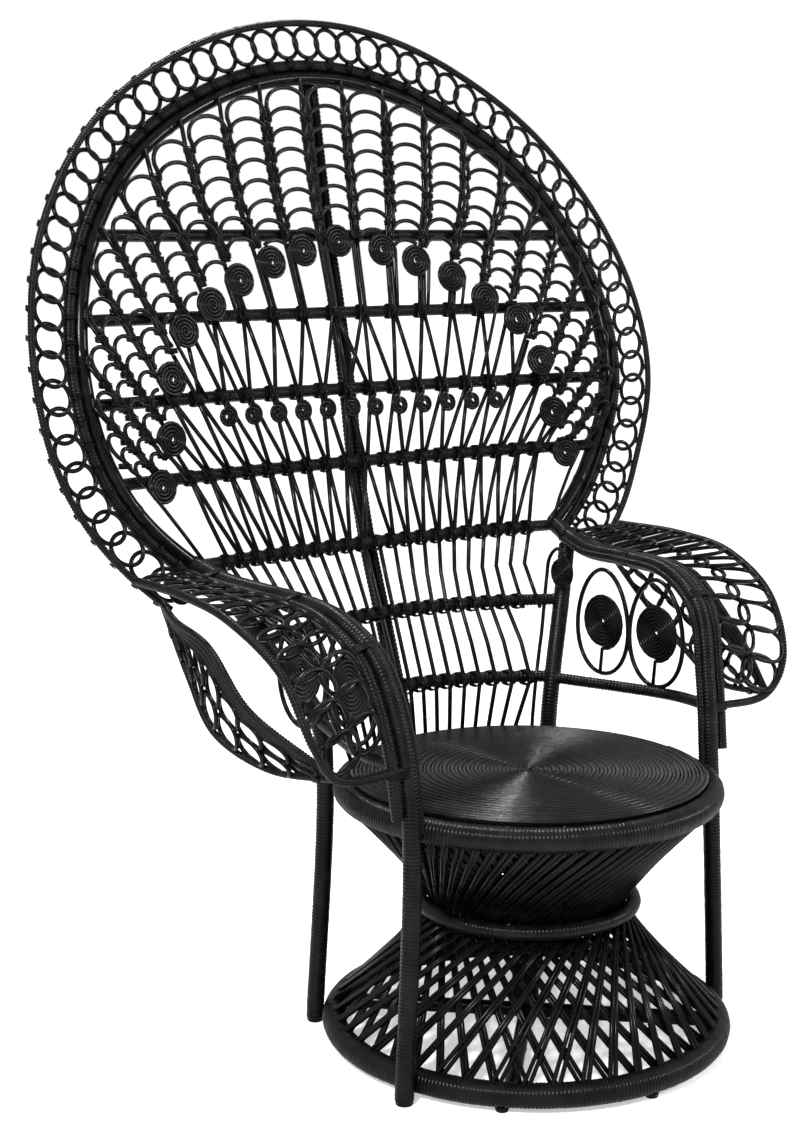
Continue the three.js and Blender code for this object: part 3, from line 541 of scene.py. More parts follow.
def lacquer_material(name, roughness, grain, rubbed_share, bump, specular=0.055):
    """Black lacquer over cane: uneven gloss, thin spots and fine length-wise fibres."""
    finish = bpy.context.scene.peacock_finish
    material = bpy.data.materials.new(name)
    material.use_nodes = True
    nodes, links = material.node_tree.nodes, material.node_tree.links
    shader = nodes["Principled BSDF"]
    place = nodes.new("ShaderNodeTexCoord")
    patches = nodes.new("ShaderNodeTexNoise")
    patches.inputs["Scale"].default_value = 28
    patches.inputs["Detail"].default_value = 5
    patches.inputs["Roughness"].default_value = 0.65
    links.new(place.outputs["Object"], patches.inputs["Vector"])
    thin = nodes.new("ShaderNodeValToRGB")
    thin.color_ramp.elements[0].position = rubbed_share
    thin.color_ramp.elements[0].color = (*finish.lacquer, 1)
    thin.color_ramp.elements[1].position = min(rubbed_share + 0.33, 1)
    thin.color_ramp.elements[1].color = (*finish.rubbed, 1)
    links.new(patches.outputs["Fac"], thin.inputs["Fac"])
    links.new(thin.outputs["Color"], shader.inputs["Base Color"])
    gloss = nodes.new("ShaderNodeMapRange")
    gloss.inputs["From Min"].default_value = 0.3
    gloss.inputs["From Max"].default_value = 0.7
    gloss.inputs["To Min"].default_value = max(roughness - 0.09, 0.05)
    gloss.inputs["To Max"].default_value = roughness + 0.12
    links.new(patches.outputs["Fac"], gloss.inputs["Value"])
    links.new(gloss.outputs["Result"], shader.inputs["Roughness"])
    fibre = nodes.new("ShaderNodeTexNoise")
    fibre.inputs["Scale"].default_value = grain * 6
    fibre.inputs["Detail"].default_value = 3
    links.new(place.outputs["Object"], fibre.inputs["Vector"])
    relief = nodes.new("ShaderNodeBump")
    relief.inputs["Strength"].default_value = 0.7
    relief.inputs["Distance"].default_value = bump
    links.new(fibre.outputs["Fac"], relief.inputs["Height"])
    links.new(relief.outputs["Normal"], shader.inputs["Normal"])
    shader.inputs["Specular IOR Level"].default_value = specular
    shader.inputs["Coat Weight"].default_value = 0.07
    shader.inputs["Coat Roughness"].default_value = 0.14
    return material


def material_of(kind):
    """The finish of canes, wraps, bare poles or the seat, made once each."""
    name = {"cane": "lacquered_cane", "wrap": "lacquered_winding", "pole": "lacquered_pole",
            "seat": "lacquered_seat_coil", "tie": "lacquered_tie"}[kind]
    if name in bpy.data.materials:
        return bpy.data.materials[name]
    finish = bpy.context.scene.peacock_finish
    if kind == "cane":
        return lacquer_material(name, finish.cane_roughness,
                                grain=90, rubbed_share=0.5, bump=0.00015)
    if kind == "wrap":
        return lacquer_material(name, finish.wrap_roughness,
                                grain=110, rubbed_share=0.42, bump=0.0003)
    if kind == "pole":
        return lacquer_material(name, finish.cane_roughness - 0.06,
                                grain=60, rubbed_share=0.52, bump=0.00015)
    if kind == "seat":
        return lacquer_material(name, finish.cane_roughness - 0.02,
                                grain=120, rubbed_share=0.56, bump=0.00025, specular=0.1)
    return lacquer_material(name, finish.wrap_roughness + 0.04,
                            grain=150, rubbed_share=0.48, bump=0.0002)


def chance():
    return random.Random(canes_of().seed)


# Seat and base


class PEACOCK_OT_seat(bpy.types.Operator):
    """Coils the round seat and wraps its rim"""

    bl_idname = "peacock.seat"
    bl_label = "Coil Seat"

    def execute(self, context):
        s, c, rng = sizes(), canes_of(), chance()
        thick = c.coil_pitch / 2
        heart, per_turn = 0.004, 56
        ripple, ripples = 0.0005, 530
        uneven, beat = 0.04, 0.37
        turns = (s.seat_radius - thick - heart) / c.coil_pitch
        count = round(turns * per_turn)
        route = []
        for i in range(count + 1):
            radius = heart + c.coil_pitch * turns * i / count
            height = s.seat_height - thick + ripple * math.sin(ripples * radius)
            route.append(on_circle(radius, 2 * math.pi * i / per_turn, height))
        swell = [1 + uneven * math.sin(i * beat) * rng.random() for i in range(len(route))]
        make_piece("seat_coil", [route], thick, material_of("seat"), ["seat_disc"],
                   radii=[swell])
        self.backing(s)
        height = frame_box("seat_rim")[1].z - s.rim_tube * HEXAGON_FLAT
        points, radii = wrapped(circle_route(s.rim_radius, height), rng, s.rim_tube, closed=True)
        make_piece("seat_rim_wrapped", [points], s.rim_tube, material_of("wrap"), ["seat_rim"],
                   roundness=5, closed=True, radii=[radii])
        return {"FINISHED"}

    def backing(self, s):
        """A thin disc that closes the gaps between the coil's turns."""
        top_drop, bottom_drop, inset = 0.004, 0.009, 0.004
        bm = bmesh.new()
        lower, upper = s.seat_height - bottom_drop, s.seat_height - top_drop
        bmesh.ops.create_circle(bm, cap_ends=True, radius=s.seat_radius - inset, segments=96,
                                matrix=Matrix.Translation((0, 0, lower)))
        grown = bmesh.ops.extrude_face_region(bm, geom=bm.faces[:])
        top = [v for v in grown["geom"] if isinstance(v, bmesh.types.BMVert)]
        bmesh.ops.translate(bm, verts=top, vec=(0, 0, upper - lower))
        bmesh.ops.recalc_face_normals(bm, faces=bm.faces)
        backing = bpy.data.meshes.new("seat_backing")
        bm.to_mesh(backing)
        bm.free()
        finish_piece("seat_backing", backing, material_of("seat"), ["seat_disc"])


class PEACOCK_OT_base(bpy.types.Operator):
    """Builds the hourglass base: rings, crossed canes, floor cross, post and foot blocks"""

    bl_idname = "peacock.base"
    bl_label = "Weave Base"

    def execute(self, context):
        s, rng = sizes(), chance()
        sunk = 0.004
        rim_low = frame_box("seat_rim")[0].z
        base_low, base_high = frame_box("base_ring")
        base_height = (base_low.z + base_high.z) / 2
        rings = (("base_ring", s.base_radius, base_height, s.base_tube, 5),
                 ("waist_ring", s.waist_radius, s.waist_height, s.waist_tube, 4))
        for node, radius, height, tube, roundness in rings:
            points, radii = wrapped(circle_route(radius, height), rng, tube, closed=True)
            make_piece(node + "_wrapped", [points], tube, material_of("wrap"), [node],
                       roundness=roundness, closed=True, radii=[radii])
        waist = s.waist_radius - s.waist_tube
        self.cage("upper_cage", s.rim_radius, rim_low + sunk, waist, s.waist_height,
                  strands=72, lean=-1, slant=math.radians(34), rng=rng)
        self.cage("lower_cage", s.base_radius, base_high.z - sunk, waist, s.waist_height,
                  strands=44, lean=1, slant=math.radians(40), rng=rng)
        cross_low, cross_high = frame_box("floor_cross")
        inner = s.base_radius - s.base_tube
        routes, radii = [], []
        for angle, height in ((math.pi / 4, cross_low.z + CROSS_POLE),
                              (-math.pi / 4, cross_high.z - CROSS_POLE)):
            route, swell = jointed([on_circle(inner, angle, height),
                                    on_circle(inner, angle + math.pi, height)], rng)
            routes.append(route)
            radii.append(swell)
        make_piece("floor_cross_poles", routes, CROSS_POLE, material_of("pole"),
                   ["floor_cross"], roundness=4, radii=radii)
        foot, head = frame_box("centre_post")
        post, swell = jointed([Vector((0, 0, foot.z)), Vector((0, 0, head.z))], rng)
        make_piece("centre_post_pole", [post], POST_POLE, material_of("pole"),
                   ["centre_post"], roundness=6, radii=[swell])
        for number in (1, 2):
            self.foot_block(number)
        return {"FINISHED"}

    def cage(self, node, ring, ring_height, waist, waist_height, strands, lean, slant, rng):
        """Two families of paired canes that slant against each other between ring and waist."""
        cane, above_waist, inside_waist = 0.0034, 0.0055, 0.0075
        outer_layer, inner_layer = 0.004, -0.005
        half_pair, uneven = 0.0135, 0.006
        away = math.copysign(above_waist, ring_height - waist_height)
        routes = []
        for i in range(strands):
            start = 2 * math.pi * i / strands
            for hop, sign in ((outer_layer, lean), (inner_layer, -lean)):
                for shift in (-half_pair, half_pair):
                    top = start + shift + rng.uniform(-uneven, uneven)
                    low = start + sign * slant + shift + rng.uniform(-uneven, uneven)
                    a = on_circle(ring + hop, top, ring_height)
                    b = on_circle(waist - inside_waist + hop, low, waist_height + away)
                    routes.append([a, a.lerp(b, 0.5), b])
        make_piece(node + "_canes", routes, cane, material_of("cane"), [node], roundness=1)

    def foot_block(self, number):
        """A short turned foot, a little slimmer at the floor, with rounded edges."""
        floor_radius, rounding, level = 0.0088, 0.0014, 1e-6
        low, high = frame_box(f"foot_block_{number}")
        bm = bmesh.new()
        bmesh.ops.create_cone(bm, cap_ends=True, segments=28, radius1=floor_radius,
                              radius2=FOOT_BLOCK, depth=high.z - low.z)
        rim = [e for e in bm.edges if abs(e.verts[0].co.z - e.verts[1].co.z) < level]
        bmesh.ops.bevel(bm, geom=rim, offset=rounding, offset_type="OFFSET", segments=3,
                        profile=0.5, affect="EDGES", material=-1)
        bmesh.ops.translate(bm, verts=bm.verts, vec=(low + high) / 2)
        mesh = bpy.data.meshes.new(f"foot_block_turned_{number}")
        bm.to_mesh(mesh)
        bm.free()
        finish_piece(f"foot_block_turned_{number}", mesh, material_of("pole"),
                     [f"foot_block_{number}"])


# Fan back


class PEACOCK_OT_hoops(bpy.types.Operator):
    """Bends the smooth inner hoop, the wrapped outer hoop and the rim pole"""

    bl_idname = "peacock.hoops"
    bl_label = "Bend Hoops"

    def execute(self, context):
        rng = chance()
        inner_fullness, outer_fullness = 0.0006, 0.0004
        inner, swell = jointed(outline_route(inner_hoop_inward()), rng)
        make_piece("inner_hoop_pole", [inner], INNER_HOOP + inner_fullness,
                   material_of("pole"), ["inner_hoop"], roundness=5, radii=[swell])
        outer, windings = wrapped(outline_route(outer_hoop_inward()), rng, OUTER_HOOP)
        make_piece("outer_hoop_wrapped", [outer], OUTER_HOOP + outer_fullness,
                   material_of("wrap"), ["outer_hoop"], roundness=4, radii=[windings])
        rim, windings = wrapped(outline_route(RIM_POLE), rng, RIM_POLE, SLIM_WRAP_PITCH)
        make_piece("rim_pole_wrapped", [rim], RIM_POLE, material_of("wrap"), ["rim_pole"],
                   roundness=3, radii=[windings])
        return {"FINISHED"}


class PEACOCK_OT_ring_border(bpy.types.Operator):
    """Links a row of cane rings between the rim pole and the outer hoop"""

    bl_idname = "peacock.ring_border"
    bl_label = "Link Ring Border"

    def execute(self, context):
        c, rng = canes_of(), chance()
        inset, fine_step, reach = 0.0005, 0.001, 12
        overlap, ring_stretch, uneven = 0.0022, 1.08, (0.985, 1.01)
        tie_centre_share, tie_out, tie_side, tie_pitch = 0.6, 0.0004, 0.0014, 0.0026
        middle = spaced(outline_route(band_inward() + inset), fine_step)
        count = c.border_rings
        radius = RING_BAND / 2 + overlap - c.ring_radius
        rings, ties = [], []
        for i in range(count):
            at = round((len(middle) - 1) * (i + 0.5) / count)
            centre = middle[at]
            ahead, back = min(at + reach, len(middle) - 1), max(at - reach, 0)
            along = (middle[ahead] - middle[back]).normalized()
            out = outline_normal(centre, along)
            front = along.cross(out).normalized()
            size = radius * rng.uniform(*uneven)
            ring = []
            for k in range(RING_POINTS):
                angle = 2 * math.pi * k / RING_POINTS
                lift = -RING_LIFT * math.cos(angle)
                ring.append(centre + out * size * math.sin(angle)
                            + along * (size * ring_stretch) * math.cos(angle) + front * lift)
            rings.append(ring)
            for side, half in ((1, RIM_POLE), (-1, OUTER_HOOP)):
                touch = centre + out * side * (radius + c.ring_radius + half * tie_centre_share)
                ties.append(winding(touch, along, out, half + tie_out, half + tie_side, 3,
                                    tie_pitch))
        make_piece("border_rings", rings, c.ring_radius, material_of("cane"), ["ring_border"],
                   roundness=2, closed=True)
        make_piece("border_ties", ties, c.tie_thickness, material_of("tie"), roundness=0)
        make_piece("border_end_coils", self.end_coils(), BORDER_COIL_CANE,
                   material_of("cane"), ["ring_border"])
        return {"FINISHED"}

    def end_coils(self):
        """A small spiral that closes each end of the border."""
        forward, radius, pitch, per_turn = 0.008, 0.0178, 0.0054, 16
        ends = []
        for angle in (FAN_END, math.pi - FAN_END):
            centre = outline_point(angle, band_inward(), LAYER - forward)
            ends.append(coil(centre, surface_up(centre), ACROSS, COIL_HEART, radius, pitch,
                             per_turn))
        return ends


def outline_normal(centre, along):
    """Direction in the fan's surface from a point of the outline away from the fan's middle."""
    out = centre - fan_point(0, sizes().fan_centre_height)
    return (out - along * out.dot(along)).normalized()


def bar_name(index):
    """Name in the frame of the bar at an index of the bars' heights, which count upwards."""
    return f"bar_{len(BAR_LEVELS) - index}"


def bar_centre(node, x, z):
    """Middle of a bar at a distance from the chair's middle, read from the frame's own bar."""
    depth = frame_box(node)[1].y - BAR * HEXAGON_FLAT
    return fan_point(x, z) + Vector((0, depth - fan_point(0, z).y, 0))


class PEACOCK_OT_bars(bpy.types.Operator):
    """Lays the seven wrapped bars across the fan and the double spine behind them"""

    bl_idname = "peacock.bars"
    bl_label = "Lay Bars"

    def execute(self, context):
        rng = chance()
        end_into_hoop, half_count, slimmer, bar_pitch = 0.004, 24, 0.0008, 0.0062
        for i, z in enumerate(bar_heights()):
            node = bar_name(i)
            reach = frame_box(node)[1].x + end_into_hoop
            route = [bar_centre(node, reach * (k / half_count - 1), z)
                     for k in range(2 * half_count + 1)]
            points, radii = wrapped(route, rng, BAR, bar_pitch)
            make_piece(node + "_wrapped", [points], BAR - slimmer, material_of("wrap"), [node],
                       roundness=3, radii=[radii])
        self.spine(rng)
        return {"FINISHED"}

    def spine(self, rng):
        """Two poles side by side that rise behind the seat and touch every bar's back."""
        half_gap, behind_bar, spine_pitch = 0.0002, 0.001, 0.007
        routes, radii, nodes = [], [], []
        for hand, side in SIDES.items():
            node = f"spine_pole_{hand}"
            low, high = frame_box(node)
            x = side * (SPINE + half_gap)
            foot = sizes().rim_radius + sizes().rim_tube + GAP + SPINE
            route = [Vector((x, foot, low.z)), Vector((x, foot, sizes().seat_height))]
            for i, z in enumerate(bar_heights()):
                back = frame_box(bar_name(i))[1].y
                route.append(Vector((x, back + SPINE + behind_bar, z)))
            route.append(Vector((x, high.y - SPINE, high.z)))
            points, windings = wrapped(smooth(route), rng, SPINE, spine_pitch)
            routes.append(points)
            radii.append(windings)
            nodes.append(node)
        make_piece("spine_wrapped", routes, SPINE, material_of("wrap"), nodes, roundness=3,
                   radii=radii)


class PEACOCK_OT_stakes(bpy.types.Operator):
    """Weaves the stakes that rise from the seat and branch from bar to bar"""

    bl_idname = "peacock.stakes"
    bl_label = "Weave Stakes"

    def execute(self, context):
        c = canes_of()
        cane, tie = material_of("cane"), material_of("tie")
        b7, b6, b5, b4, b3, b2 = bar_heights()[:6]
        seat = self.seat_stakes(b7, b6, b5)
        make_piece("seat_stakes", seat, c.cane_radius, cane, ["stakes"])
        first = [self.branch(i, b5, j, b4) for j in range(-9, 10)
                 for i in ((j, j + 1) if j > 0 else (j - 1, j) if j < 0 else (-1, 1))]
        make_piece("first_branches", first, c.cane_radius, cane, ["course_1"])
        second = [self.branch(i, b4, j + 0.5, b3) for j in range(-10, 10) for i in (j, j + 1)]
        make_piece("second_branches", second, c.cane_radius, cane, ["course_2"])
        third = [self.branch(j + 0.5, b3, j + 0.5 + k, b2) for j in range(-7, 7)
                 for k in ((0, -1) if j >= 0 else (0, 1)) if abs(j + 0.5 + k) < 7]
        make_piece("third_branches", third, c.cane_radius, cane, ["course_3"])
        make_piece("crossing_ties", self.ties(), c.tie_thickness, tie, roundness=0)
        return {"FINISHED"}

    def seat_stakes(self, b7, b6, b5):
        """Canes from round the seat up to the fifth bar, and four short ones at the sides."""
        s, routes = sizes(), []
        outside_seat, past_bar, bar_front = 0.009, 0.008, -0.002
        foot_radius = s.seat_radius + outside_seat
        for i in range(-8, 9):
            turn = i * s.fan_radius * STAKE_PITCHES[0] / foot_radius
            foot = on_circle(foot_radius, math.pi / 2 - turn, s.seat_height - past_bar)
            head = stake_place(i, b5 + past_bar)
            routes.append([foot, stake_place(i, b7, bar_front), stake_place(i, (b7 + b6) / 2),
                           stake_place(i, b6), stake_place(i, (b6 + b5) / 2), head])
        for i in (-10, -9, 9, 10):
            routes.append([stake_place(i, b6 - past_bar), stake_place(i, (b6 + b5) / 2),
                           stake_place(i, b5 + past_bar)])
        return routes

    def branch(self, low_index, low_z, high_index, high_z):
        """A cane from one bar to the next, cut off where it passes the arch of spirals."""
        past_bar, halvings = 0.009, 16
        low = stake_place(low_index, low_z - past_bar)
        high = stake_place(high_index, high_z + past_bar)
        if not inside_arch(high):
            inside, outside = low, high
            for _ in range(halvings):
                middle = inside.lerp(outside, 0.5)
                if inside_arch(middle):
                    inside = middle
                else:
                    outside = middle
            high = inside
        middle = (low + high) / 2
        return [low, fan_point(middle.x, middle.z), high]

    def ties(self):
        """Bindings of stakes to bars."""
        routes = []
        outermost_stakes = (8, 9, 10, 9, 9.5, 6.5, 4.5)
        clear_of_end, back_shift, depth_more, height_more = 0.01, 0.002, 0.0095, 0.0012
        for i, (z, reach) in enumerate(zip(bar_heights(), outermost_stakes)):
            node = bar_name(i)
            index = -reach
            while index <= reach:
                place = stake_place(index, z)
                if abs(place.x) < frame_box(node)[1].x - clear_of_end and inside_arch(place):
                    centre = bar_centre(node, place.x, z)
                    middle = (centre + place) / 2 + ALONG * back_shift
                    half = (centre.y - place.y) / 2 + depth_more
                    routes.append(winding(middle, ACROSS, -ALONG, half, BAR + height_more, 4))
                index += 1
        return routes


class PEACOCK_OT_columns(bpy.types.Operator):
    """Sets the fanning columns of the upper lace and stacks scallops before them"""

    bl_idname = "peacock.columns"
    bl_label = "Stack Scallops"

    def execute(self, context):
        c = canes_of()
        make_piece("column_canes", self.column_routes(), c.cane_radius, material_of("cane"),
                   ["columns"])
        scallops, ties = self.scallops()
        make_piece("scallop_arches", scallops, c.ring_radius, material_of("cane"),
                   ["scallops_top", "scallops_sides"])
        make_piece("scallop_ties", ties, c.tie_thickness, material_of("tie"), roundness=0)
        return {"FINISHED"}

    def column_routes(self):
        """Canes that fan out to the inner hoop: pairs in the middle, single ones at the sides."""
        under_bar, above_arch, past_arch = 0.008, 0.004, 0.01
        half_pair, outermost_pair, step = 0.0042, 5, 0.05
        routes = []
        for k in range(-11, 11):
            index = k + 0.5
            paired = abs(index) < outermost_pair
            on_arch = level_where(index, inside_arch, bar_heights()[3], sizes().overall_height)
            low = bar_heights()[5] - under_bar if paired else on_arch + above_arch
            top = level_where(index, inside_hoop, low, sizes().overall_height)
            arch_top = spiral_arch_height(stake_place(index, on_arch).x) + past_arch
            count = max(2, round((top - low) / step))
            for shift in ((-half_pair, half_pair) if paired else (0,)):
                high = min(top, arch_top) if shift > 0 else top
                routes.append([stake_place(index, low + (high - low) * i / count) + ACROSS * shift
                               for i in range(count + 1)])
        return routes

    def scallops(self):
        """Rows of arches before the columns, with one tie wherever their feet meet."""
        before_columns, shortest = -0.0066, 9
        foot_drop, foot_depth, same_foot = -0.019, -0.0033, 0.014
        tie_depth, tie_width = 0.0082, 0.0098
        arches, ties, bound = [], [], []
        for column in range(-11, 12):
            for z in self.scallop_heights(column):
                points = self.arch(column, z, before_columns)
                begin, end = self.clear_run(points)
                if end - begin < shortest:
                    continue
                arches.append(points[begin:end])
                for kept, across in ((begin == 0, -0.5), (end == len(points), 0.5)):
                    foot = self.arch_point(column, z, across, foot_drop, foot_depth)
                    if kept and all((foot - other).length > same_foot for other in bound):
                        bound.append(foot)
                        ties.append(winding(foot, surface_up(foot), -ALONG, tie_depth,
                                            tie_width, 3))
        return arches, ties

    def column_lean(self, column, z):
        """Length along a column for each metre that it rises, and its sideways drift."""
        drift = (stake_place(column, z + SLOPE_STEP).x
                 - stake_place(column, z - SLOPE_STEP).x) / (2 * SLOPE_STEP)
        return math.sqrt(1 + drift * drift), drift

    def scallop_heights(self, column):
        """Heights of a column's scallops, from the inner hoop down to the fourth bar."""
        under_hoop, row_pitch = 0.012, 0.031
        low = bar_heights()[3]
        top = level_where(column, inside_hoop, low, sizes().overall_height)
        z = top - under_hoop - SCALLOP_RISE / self.column_lean(column, top)[0]
        heights = []
        while z > low:
            heights.append(z)
            z -= row_pitch / self.column_lean(column, z)[0]
        return heights

    def arch_point(self, column, z, across, rise, behind):
        """A point beside a column, so many column widths across and a length up along it."""
        stretch, drift = self.column_lean(column, z)
        pitch = stake_place(column + 0.5, z).x - stake_place(column - 0.5, z).x
        level = z + rise / stretch - drift * pitch * across / stretch**2
        return stake_place(column + across, level, behind)

    def arch(self, column, z, behind):
        """A scallop that leans with its column and stands on the two canes beside it."""
        foot_gap, shoulder_gap, side_gap = 0.0062, 0.0045, 0.002
        foot_drop, shoulder_drop, fullness, steps = -0.021, -0.009, 0.85, 16
        pitch = stake_place(column + 0.5, z).x - stake_place(column - 0.5, z).x
        foot, shoulder, side = (0.5 - gap / pitch for gap in (foot_gap, shoulder_gap, side_gap))
        shape = [(-foot, foot_drop), (-shoulder, shoulder_drop)]
        for i in range(steps + 1):
            angle = math.pi * (1 - i / steps)
            rise = SCALLOP_RISE * math.sin(angle) ** fullness
            shape.append((side * math.cos(angle), rise))
        shape += [(shoulder, shoulder_drop), (foot, foot_drop)]
        return [self.arch_point(column, z, across, rise, behind) for across, rise in shape]

    def clear_run(self, points):
        """The longest part of an arch between the large spirals and the inner hoop."""
        s, spiral_reach = sizes(), 0.028
        centres = [Vector((a * s.fan_radius, s.fan_centre_height + u * s.fan_radius))
                   for a, u in zip(SPIRALS_ACROSS, SPIRALS_UP)]
        best, begin = (0, 0), 0
        for i, p in enumerate(points):
            free = all((Vector((abs(p.x), p.z)) - v).length > spiral_reach for v in centres)
            if not (free and inside_hoop(p) and not inside_arch(p)):
                begin = i + 1
            elif i + 1 - begin > best[1] - best[0]:
                best = (begin, i + 1)
        return best


class PEACOCK_OT_spirals(bpy.types.Operator):
    """Curls the arch of large spirals and the row of small ones under the third bar"""

    bl_idname = "peacock.spirals"
    bl_label = "Curl Spirals"

    def execute(self, context):
        s = sizes()
        routes, nodes = [], []
        for step, (share, rise) in enumerate(zip(SPIRALS_ACROSS, SPIRALS_UP)):
            for hand, side in SIDES.items():
                if step == 0 and side > 0:
                    continue
                node = "spiral_middle" if step == 0 else f"spiral_{hand}_{step}"
                low, high = frame_box(node)
                centre = fan_point(side * share * s.fan_radius,
                                   s.fan_centre_height + rise * s.fan_radius)
                centre.y = (low.y + high.y) / 2
                routes.append(self.curl(centre, side))
                nodes.append(node)
        make_piece("large_spirals", routes, LARGE_SPIRAL_CANE, material_of("cane"), nodes)
        make_piece("small_curls", self.small_row(), SMALL_SPIRAL_CANE, material_of("cane"),
                   ["small_spirals"])
        return {"FINISHED"}

    def small_row(self):
        """Small curls that hang from the third bar, mirrored about the middle."""
        radius, pitch, per_turn = 0.016, 0.0053, 16
        drop, before_surface, tail_up, tail_aside = 0.017, -0.0075, 0.012, 0.002
        bar = bar_heights()[4]
        row = []
        for k in range(-6, 6):
            place = stake_place(k + 0.5, bar)
            centre = fan_point(place.x, bar - BAR - drop, before_surface)
            up = surface_up(centre)
            points = coil(centre, up, ACROSS, COIL_HEART, radius, pitch, per_turn, k < 0)
            row.append([*points, points[-1] + up * tail_up + ACROSS * tail_aside])
        return row

    def curl(self, centre, side):
        """A tight spiral whose outer end runs down towards the middle of the fan."""
        radius, pitch, per_turn = 0.0262, 0.0056, 18
        least_tail, tail_shares, settling = 0.03, (0.25, 0.6, 1), 0.4
        up = surface_up(centre)
        right = fan_point(centre.x + SLOPE_STEP, centre.z)
        toward = (right - fan_point(centre.x - SLOPE_STEP, centre.z)).normalized() * side
        points = coil(centre, toward, up, COIL_HEART, radius, pitch, per_turn, clockwise=True)
        end = points[-1]
        s = sizes()
        rows = [z for z in bar_heights() if z < end.z - least_tail]
        low = max(rows, default=bar_heights()[2])
        share = end.x / read_table(STAKE_LEVELS, STAKE_PITCHES, end.z / s.overall_height)
        behind = end.y - fan_point(end.x, end.z).y
        tail = []
        for step in tail_shares:
            z = end.z + (low - end.z) * step
            x = share * read_table(STAKE_LEVELS, STAKE_PITCHES, z / s.overall_height)
            tail.append(fan_point(x, z, behind * (1 - settling * step)))
        return [*points, *tail]


# Arms

# Points of the right arm's poles, as shares of the arm's spread, length and rise
ARM = ((1.12, 0.95, 1.05), (1.045, 0.7, 1.015), (1.04, 0.4, 1.01), (1.047, 0.12, 0.975),
       (1.015, -0.13, 0.8), (0.965, -0.25, 0.42))
WING = ((1.573, 0.567, 1.085), (1.573, 0.197, 1.023), (1.527, -0.15, 0.804),
        (1.467, -0.3, 0.462), (1.35, -0.305, 0.277))
WING_END = (0.95, -0.29, 0.254)
POST = ((0.763, 0.687, 0.258), (0.967, 0.85, 0.692))
POST_END = (1.105, 0.965, 1.01)
SIDE_OUTER = ((1.477, 0.707, 0.615), (1.507, 0.437, 0.369), (1.433, 0.123, 0.242))
SIDE_INNER = ((1.51, 0.75, 0.87), (1.54, 0.467, 0.77), (1.517, 0.133, 0.5))
ARM_SPREAD = 0.3
ARM_LENGTH = 0.3
ARM_RISE = 0.26


class ArmRoutes:
    """The routes of one arm's poles, as in the frame."""

    def __init__(self, side):
        s = sizes()
        self.side = side
        leg_at_rim, pole_gap = s.seat_height - 0.0257, 0.001
        wing_angle, wing_depth, leaf_angle = math.radians(-33), 0.003, math.radians(-38)
        rim = s.rim_radius + s.rim_tube + GAP + s.leg_radius
        foot = s.base_radius + s.base_tube + GAP + s.leg_radius
        start = self.flip(outline_point(FAN_END, inner_hoop_inward(), LAYER))
        leg_rim = self.flip(on_circle(rim, FRONT_LEG, leg_at_rim))
        self.arm = [start, *map(self.place, ARM), leg_rim,
                    self.flip(on_circle(foot, FRONT_LEG, FOOT_LENGTH)),
                    self.flip(on_circle(foot, FRONT_LEG, 0))]
        shift = ACROSS * side * (s.leg_radius + OUTER_ARM + pole_gap)
        outer_start = self.flip(outline_point(FAN_END, outer_hoop_inward(), LAYER))
        seat_end = leg_rim + shift
        seat_end.z = s.seat_height
        self.outer = [outer_start, *(self.place(p) + shift for p in ARM), seat_end]
        self.rear = [self.flip(on_circle(foot, REAR_LEG, 0)),
                     self.flip(on_circle(foot, REAR_LEG, FOOT_LENGTH)),
                     self.flip(on_circle(rim, REAR_LEG, leg_at_rim)),
                     *map(self.place, POST), self.place(POST_END)]
        wing_start = self.flip(outline_point(wing_angle, RIM_POLE, wing_depth))
        self.wing_top = [wing_start, *map(self.place, WING)]
        self.wing = [*self.wing_top, self.place(WING_END)]
        side_start = self.flip(outline_point(leaf_angle, RIM_POLE, LAYER - RIM_POLE))
        end = self.place(WING[-1])
        self.side_outer = [side_start, *map(self.place, SIDE_OUTER), end]
        self.side_inner = [side_start, *map(self.place, SIDE_INNER), end]

    def place(self, shares):
        """A point at shares of the arm's spread, length and rise."""
        across, along, rise = shares
        return Vector((self.side * across * ARM_SPREAD, along * ARM_LENGTH,
                       sizes().seat_height + rise * ARM_RISE))

    def flip(self, point):
        """A point of the right side, on this arm's own side."""
        return Vector((self.side * point.x, point.y, point.z))


def along_route(route, share):
    """Point and direction at a share of an evenly spaced route."""
    at = share * (len(route) - 1)
    i = min(int(at), len(route) - 2)
    return route[i].lerp(route[i + 1], at - i), (route[i + 1] - route[i]).normalized()


